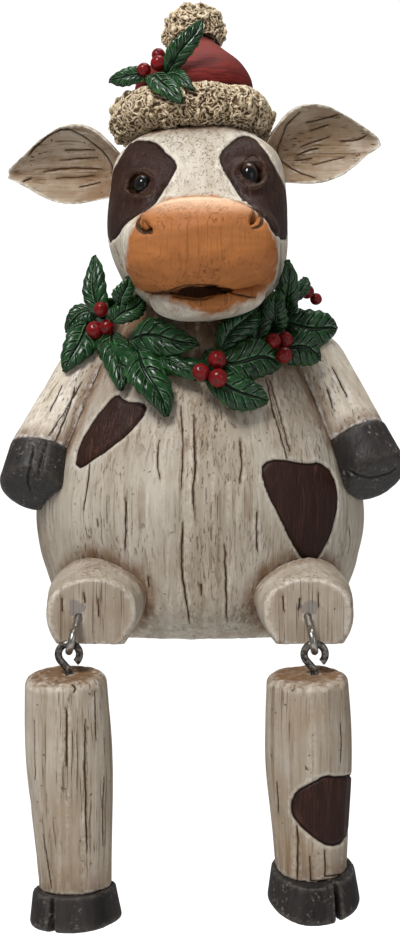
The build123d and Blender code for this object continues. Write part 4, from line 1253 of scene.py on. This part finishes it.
class CastHead(bpy.types.Operator):
    """Carves and paints the head, its eyes and its ears"""
    bl_idname = "cow.cast_head"
    bl_label = "Head"

    def execute(self, context):
        eyes = {}
        for side in sides:
            low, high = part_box(f"{side}_eyeball")
            eyes[side] = (low + high) / 2
        piece = clay(copy_of("head_cast", "head"), head_voxel, 3)
        shape_head(piece, eyes)
        places = places_of(piece)
        drawing = Drawing(piece, (0.0, 0.0))
        ahead = places[:, 1] < 0.0
        muzzle = np.where(ahead, drawing.patch([muzzle_pixels]), far_off)
        mouth = np.where(ahead, drawing.patch([mouth_pixels]), far_off)
        push(piece, muzzle_swell * ramp(-muzzle, -1.2, 1.2) - mouth_depth * ramp(-mouth, -0.3, 0.8))
        keep(piece, "muzzle", muzzle)
        # The muzzle's top ridge, where the light falls, is marked for a painted highlight
        keep(piece, "ridge", ramp(-muzzle, 0.0, 1.5) * ramp(places[:, 2], *ridge_highlight_start))
        keep(piece, "mouth", mouth)
        # Painted shade under the hat's brim and beside the garland and ears, with brown wash
        around = [cad_node(name) for name in ("wreath_vine", "hat_brim", "left_ear", "right_ear")]
        keep(piece, "shade", near(piece, stain_and_shade_reach, *around) * 1.15)
        carve_wood(piece, 17.0, 0.9, eye_patches_pixels, face_lines_pixels, (0.0, 0.0))
        paint = painted("whitewash_head", whitewash, pale=0.98, aged=0.0, muzzle=True)
        finish_piece(piece, paint, "body", "whitewash", "head")
        for side, centre in eyes.items():
            finish_piece(shape_bead(side, centre), painted("bead", bead), "body", "eye", f"{side}_eyeball")
        for side, sign in sides.items():
            cup = clay(copy_of(f"{side}_ear_cup", f"{side}_ear"), ear_voxel, 2)
            turn = Matrix.Rotation(math.radians(90.0) * sign, 3, "Y").to_euler()
            carve_wood(cup, 20.0 + sign, 1.2, cracks=ear_cracks_pixels[side], turn=turn)
            # The cup darkens deep inside, towards the head and on its front: brown inner-ear paint, and
            # painted shade in its hollow and at its root
            deep = hollow_of(cup, 60)
            front = np.clip(-normals_of(cup)[:, 1], 0.0, 1.0)
            inner = ramp(blurred(deep, edge_ends(cup), 4), -0.05, 0.25) * 0.35
            root = near(cup, ear_stain_and_shade_reach, cad_node("head"))
            rim = 1.0 - ramp(-deep, 0.05, 0.35)
            keep(cup, "shade", np.clip(front * (inner + rim * (0.30 + 0.75 * root)), 0.0, 1.0))
            paint = painted(f"whitewash_{side}_ear", whitewash, turn=tuple(turn), pale=1.15, aged=0.8)
            finish_piece(cup, paint, "body", "whitewash", f"{side}_ear")
        return {"FINISHED"}


def curl_fur(piece, seed):
    """Raises worm-like curls all over a piece."""
    places = places_of(piece)
    scale = 1.0 / millimetre
    warp = np.stack([noise_at(places, 0.30 * scale, seed + shift) for shift in (0.0, 31.0, 67.0)], axis=1)
    bent = places + warp * 2.6 * millimetre
    first = 1.0 - np.abs(noise_at(bent, 0.42 * scale, seed + 5.0)) * 2.6
    second = 1.0 - np.abs(noise_at(bent, 0.62 * scale, seed + 9.0)) * 2.4
    ridge = np.maximum(np.clip(first, 0.0, 1.0) ** 1.5, np.clip(second, 0.0, 1.0) ** 1.5 * 0.85)
    lumps = noise_at(places, 0.16 * scale, seed + 13.0)
    push(piece, sizes().curl_height * (ridge - 0.72) + lump_height * lumps)
    keep(piece, "hollow", hollow_of(piece, 8) + 0.4 * hollow_of(piece, 30))


class CastHat(bpy.types.Operator):
    """Carves and paints the fur band, crown and bobble of the hat"""
    bl_idname = "cow.cast_hat"
    bl_label = "Hat"

    def execute(self, context):
        fur = painted("curled_fur", curled_fur)
        band = clay(copy_of("hat_band_fur", "hat_brim"), band_voxel, 2)
        low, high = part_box("hat_brim")
        places = places_of(band)
        upper = ramp(places[:, 2], (low.z + high.z) / 2, high.z)
        places[:, 2] += band_rise * upper * (0.35 + 0.65 * ramp(np.abs(places[:, 0]), 0.006, 0.020))
        places[:, 2] += band_edge_rise * (1.0 - upper) * ramp(-places[:, 0], 0.010, 0.024)
        places[:, 0] -= band_tuck * ramp(places[:, 0], 0.012, 0.026)
        set_places(band, places)
        curl_fur(band, 2.0)
        # Painted shade where the band meets the head and crown
        keep(band, "shade", near(band, 3.5 * millimetre, cad_node("head"), cad_node("hat_crown")) * 0.7)
        finish_piece(band, fur, "body", "fur", "hat_brim")
        ball = clay(copy_of("hat_bobble_fur", "hat_bobble"), bobble_voxel, 2)
        curl_fur(ball, 41.0)
        low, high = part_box("hat_bobble")
        middle = np.array((low + high) / 2)
        set_places(ball, middle + (places_of(ball) - middle) * bobble_growth + bobble_shift)
        finish_piece(ball, fur, "body", "fur", "hat_bobble")
        crown = clay(copy_of("hat_crown_felt", "hat_crown"), crown_voxel, 4)
        push(crown, noise_at(places_of(crown), (60.0, 60.0, 140.0), 3.0) * fold_height)
        places = places_of(crown)
        # The crown's tip is stretched up under the bobble
        under = np.exp(-(np.hypot(places[:, 0] - middle[0], places[:, 1] - middle[1]) / 0.011) ** 2)
        places += np.outer(under * ramp(places[:, 2], low.z - 0.008, low.z), bobble_shift)
        set_places(crown, places)
        # Painted shade where the brim and bobble meet the crown
        crease_shade = near(crown, 4.0 * millimetre, cad_node("hat_brim"), cad_node("hat_bobble"))
        keep(crown, "shade", crease_shade * 0.8)
        finish_piece(crown, painted("felt", felt), "body", "hat_red", "hat_crown")
        return {"FINISHED"}


def shape_leaf(name, base, tip, width, facing, curl, seed):
    """A cast leaf with a sunk midrib, puffed lobes between its veins and a curl."""
    deselect_all()
    bpy.ops.mesh.primitive_grid_add(x_subdivisions=72, y_subdivisions=26, size=2.0)
    leaf = bpy.context.active_object
    leaf.name = name
    grid = places_of(leaf)
    along = (grid[:, 0] + 1.0) / 2.0
    across = grid[:, 1]
    out = np.abs(across)
    length = (tip - base).length
    forward = (tip - base) / length
    facing = (facing - forward * facing.dot(forward)).normalized()
    beside = facing.cross(forward)
    outline = np.maximum(np.sin(math.pi * along ** 0.80) ** 0.56, 0.03)
    lobe = np.cos(math.tau * (along * leaf_veins - out * leaf_vein_slant))
    half = width / 2 * outline * (1.0 - 0.045 * lobe * ramp(out, 0.5, 1.0))
    rib = np.exp(-(across / 0.12) ** 2)
    side_vein = np.clip(lobe, 0.0, 1.0) ** 6 * ramp(out, 0.08, 0.2)
    puff = np.sin(np.clip(out, 0.0, 1.0) * math.pi) ** 0.7
    depth = width * outline ** 0.5
    height = depth * (0.11 * puff - 0.05 * rib - 0.050 * side_vein * (1.0 - rib) * (1.0 - across ** 6))
    height += depth * 0.10 * across * np.sin(along * 4.0 + seed) - depth * 0.06 * across ** 4
    bow = curl * length * 4.0 * along * (1.0 - along)
    sway = width * 0.10 * np.sin(along * math.pi * 1.5 + seed * 2.0) * outline
    places = np.outer(along * length, np.array(forward)) + np.array(base)
    places += np.outer(across * half + sway, np.array(beside)) + np.outer(height + bow, np.array(facing))
    set_places(leaf, places)
    keep(leaf, "along", along)
    keep(leaf, "across", across)
    apply_modifier(leaf, "SOLIDIFY", thickness=sizes().leaf_thickness, offset=-1.0)
    bpy.ops.object.shade_smooth()
    return leaf


def shape_berries(name, spots):
    """Berries with a dark dimple each, as one piece."""
    made = []
    for index, (centre, radius) in enumerate(spots):
        deselect_all()
        bpy.ops.mesh.primitive_uv_sphere_add(segments=32, ring_count=20, radius=radius)
        berry = bpy.context.active_object
        places = places_of(berry)
        aim = Vector((0.35 * math.sin(index * 2.3), -1.0, 0.45 * math.cos(index * 1.7)))
        tip = np.array(aim.normalized())
        reach = np.linalg.norm(places / radius - tip, axis=1)
        dimple = ramp(-reach, -0.30, -0.08)
        places = places * (1.0 + 0.03 * noise_at(places, 420.0, index)[:, None])
        places -= np.outer(dimple * radius * 0.10, tip)
        set_places(berry, places + np.array(centre))
        keep(berry, "vein", dimple * 0.75)
        made.append(berry)
    pick(made[0])
    for berry in made[1:]:
        berry.select_set(True)
    bpy.ops.object.join()
    cluster = bpy.context.active_object
    cluster.name = name
    bpy.ops.object.shade_smooth()
    return cluster


def shape_drawn_leaf(name, row, start, end, upward, seed):
    """A leaf of one of the tables, between two places in the frame."""
    width, turn, curl = row[2], math.radians(row[5]), row[6]
    facing = Vector((math.sin(turn), -math.cos(turn), upward)).normalized()
    return shape_leaf(name, start, end, width * pixel_at(start.y), facing, curl, seed)


def ground_depth(tree, pixel):
    """How deep the surface behind a pixel lies, or the garland's own depth past it."""
    place = seen_place(tree, pixel)
    across = (pixel[0] - photo_middle_pixels[0]) * pixel_at(-0.02)
    collar = -0.005 - math.sqrt(max(collar_radius ** 2 - across ** 2, 0.0)) * 0.92
    if place is None:
        return collar
    return min(place.y, collar + 0.012)


class DressGarland(bpy.types.Operator):
    """Models the leaves, berries and vine of the garland"""
    bl_idname = "cow.dress_garland"
    bl_label = "Garland"

    def execute(self, context):
        behind = tree_of(cad_node("torso"), cad_node("left_arm"), cad_node("right_arm"))
        paint = painted("garland_leaf", leaf_green, brushed=0.7)
        for index, row in enumerate(garland_leaves_pixels):
            base, tip, _, base_lift, tip_lift = row[:5]
            start = place_at_depth(base, ground_depth(behind, base) - base_lift * millimetre)
            end = place_at_depth(tip, ground_depth(behind, tip) - tip_lift * millimetre)
            leaf = shape_drawn_leaf(f"garland_leaf_{index + 1}", row, start, end, 0.25, index * 1.3)
            finish_piece(leaf, paint, "body", "leaf")
            if index == 0:
                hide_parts("wreath_right_leaves")
            if index == 9:
                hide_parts("wreath_left_leaves")
        tilt = math.radians(ring_tilt_degrees)
        for index, degrees in enumerate(back_leaf_degrees):
            turn = math.radians(degrees)
            out = Vector((math.sin(turn), -math.cos(turn) * math.cos(tilt), -math.cos(turn) * math.sin(tilt)))
            start = ring_middle + out * ring_radius + Vector((0.0, 0.0, 0.004 * math.sin(index * 2.0)))
            lean = 0.45 * math.cos(turn) * (1 if index % 2 else -1)
            fall = Vector((lean, 0.35 * math.sin(turn), -1.0)).normalized()
            end = start + fall * back_leaf_length + Vector((out.x, out.y, 0.0)) * 0.008
            name = f"garland_back_leaf_{index + 1}"
            leaf = shape_leaf(name, start, end, back_leaf_width, out, 0.10, index * 0.9)
            finish_piece(leaf, paint, "body", "leaf")
            if index == 4:
                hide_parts("wreath_back_leaves")
        for name, spots in berries_pixels.items():
            placed = []
            for across, down, radius, lift in spots:
                depth = ground_depth(behind, (across, down)) - lift * millimetre
                placed.append((place_at_depth((across, down), depth), radius * pixel_at(depth)))
            bunch = shape_berries(name.replace("wreath", "garland"), placed)
            finish_piece(bunch, painted("glossy_berry", glossy_berry), "body", "berry", name)
        vine = clay(copy_of("garland_vine", "wreath_vine"), vine_voxel, 2)
        push(vine, noise_at(places_of(vine), 260.0, 4.0) * 0.0006)
        keep(vine, "across", np.full(len(vine.data.vertices), 0.5))
        finish_piece(vine, paint, "body", "leaf", "wreath_vine")
        return {"FINISHED"}


class DressHat(bpy.types.Operator):
    """Models the holly sprig on the hat"""
    bl_idname = "cow.dress_hat"
    bl_label = "Holly sprig"

    def execute(self, context):
        behind = tree_of(cad_node("hat_brim"), cad_node("hat_crown"))
        paint = painted("holly_leaf", leaf_green, brushed=0.9)
        for index, row in enumerate(holly_leaves_pixels):
            base, tip, _, base_lift, tip_lift = row[:5]
            ground = seen_place(behind, base).y
            start = place_at_depth(base, ground - base_lift * millimetre)
            past = seen_place(behind, tip)
            depth = past.y if past and past.y < ground + 0.006 else ground + 0.003
            end = place_at_depth(tip, depth - tip_lift * millimetre)
            leaf = shape_drawn_leaf(f"holly_leaf_{index + 1}", row, start, end, 0.3, index * 2.1)
            finish_piece(leaf, paint, "body", "leaf")
            if index == 0:
                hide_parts("hat_leaves")
        ground = seen_place(behind, holly_middle_pixels).y
        placed = []
        for across, down, radius, lift in holly_berries_pixels:
            depth = ground - lift * millimetre
            placed.append((place_at_depth((across, down), depth), radius * pixel_at(depth)))
        berries = shape_berries("holly_berries", placed)
        finish_piece(berries, painted("glossy_berry", glossy_berry), "body", "berry", "hat_berries")
        return {"FINISHED"}


class FinishWires(bpy.types.Operator):
    """Gives the linked wire eyes their plated and tarnished steel"""
    bl_idname = "cow.finish_wires"
    bl_label = "Wire eyes"

    def execute(self, context):
        for side in sides:
            for name, paint, tarnish in (("thigh_eye", "bright_wire", 0.2), ("leg_eye", "dark_wire", 0.75)):
                slot = cad_node(f"{side}_{name}").material_slots[0]
                slot.material = painted(paint, wire, tarnish=tarnish)
        return {"FINISHED"}


class SetStage(bpy.types.Operator):
    """Sets the pale floor, the lights and the camera"""
    bl_idname = "cow.set_stage"
    bl_label = "Stage"

    def execute(self, context):
        deselect_all()
        bpy.ops.mesh.primitive_plane_add(size=floor_size, location=floor_place)
        floor = context.active_object
        floor.name = "pale_floor"
        floor.data.materials.append(painted("pale_floor", pale_floor))
        world = bpy.data.worlds.new("studio")
        world.use_nodes = True
        tree = world.node_tree
        backdrop = tree.nodes["Background"]
        backdrop.inputs["Color"].default_value = (1.0, 1.0, 1.0, 1.0)
        seen = add_node(tree, "ShaderNodeLightPath").outputs["Is Camera Ray"]
        tree.links.new(rescale(tree, seen, 0.0, 1.0, *world_strengths), backdrop.inputs["Strength"])
        context.scene.world = world
        for name, place, width, power in lamps:
            light = bpy.data.lights.new(name, "AREA")
            light.shape = "DISK"
            light.size = width
            light.energy = power
            lamp = bpy.data.objects.new(name, light)
            lamp.location = place
            lamp.rotation_euler = (lamp_target - Vector(place)).to_track_quat("-Z", "Y").to_euler()
            context.scene.collection.objects.link(lamp)
        lens = bpy.data.cameras.new("photograph")
        lens.sensor_fit = "VERTICAL"
        lens.sensor_height = sensor_height_mm
        lens.lens = sensor_height_mm * photo_focal_pixels / photo_pixels_size[1]
        lens.clip_start = 0.01
        camera = bpy.data.objects.new("photograph", lens)
        camera.location = eye_place
        camera.rotation_euler = (math.radians(90.0), 0.0, 0.0)
        context.scene.collection.objects.link(camera)
        context.scene.camera = camera
        context.scene.view_settings.view_transform = "Standard"
        return {"FINISHED"}


operators = (CastBody, CastThighs, CastArms, CastLegs, CastHead, CastHat, DressGarland, DressHat, FinishWires,
             SetStage)


class CowPanel(bpy.types.Panel):
    """Sizes, colours and steps of the cow ornament"""
    bl_idname = "VIEW3D_PT_cow_ornament"
    bl_label = "Cow Ornament"
    bl_space_type = "VIEW_3D"
    bl_region_type = "UI"
    bl_category = "Cow Ornament"

    def draw(self, context):
        column = self.layout.column()
        for group in (context.scene.cow_sizes, context.scene.cow_colours):
            for name in group.__annotations__:
                column.prop(group, name)
        for operator in operators:
            column.operator(operator.bl_idname)


classes = (CowSizes, CowColours, *operators, CowPanel)


def register():
    for kind in classes:
        bpy.utils.register_class(kind)
    bpy.types.Scene.cow_sizes = bpy.props.PointerProperty(type=CowSizes)
    bpy.types.Scene.cow_colours = bpy.props.PointerProperty(type=CowColours)


def unregister():
    del bpy.types.Scene.cow_colours
    del bpy.types.Scene.cow_sizes
    for kind in reversed(classes):
        bpy.utils.unregister_class(kind)


def main():
    register()
    for operator in operators:
        getattr(bpy.ops.cow, operator.bl_idname.split(".")[1])()


if __name__ == "__main__":
    main()
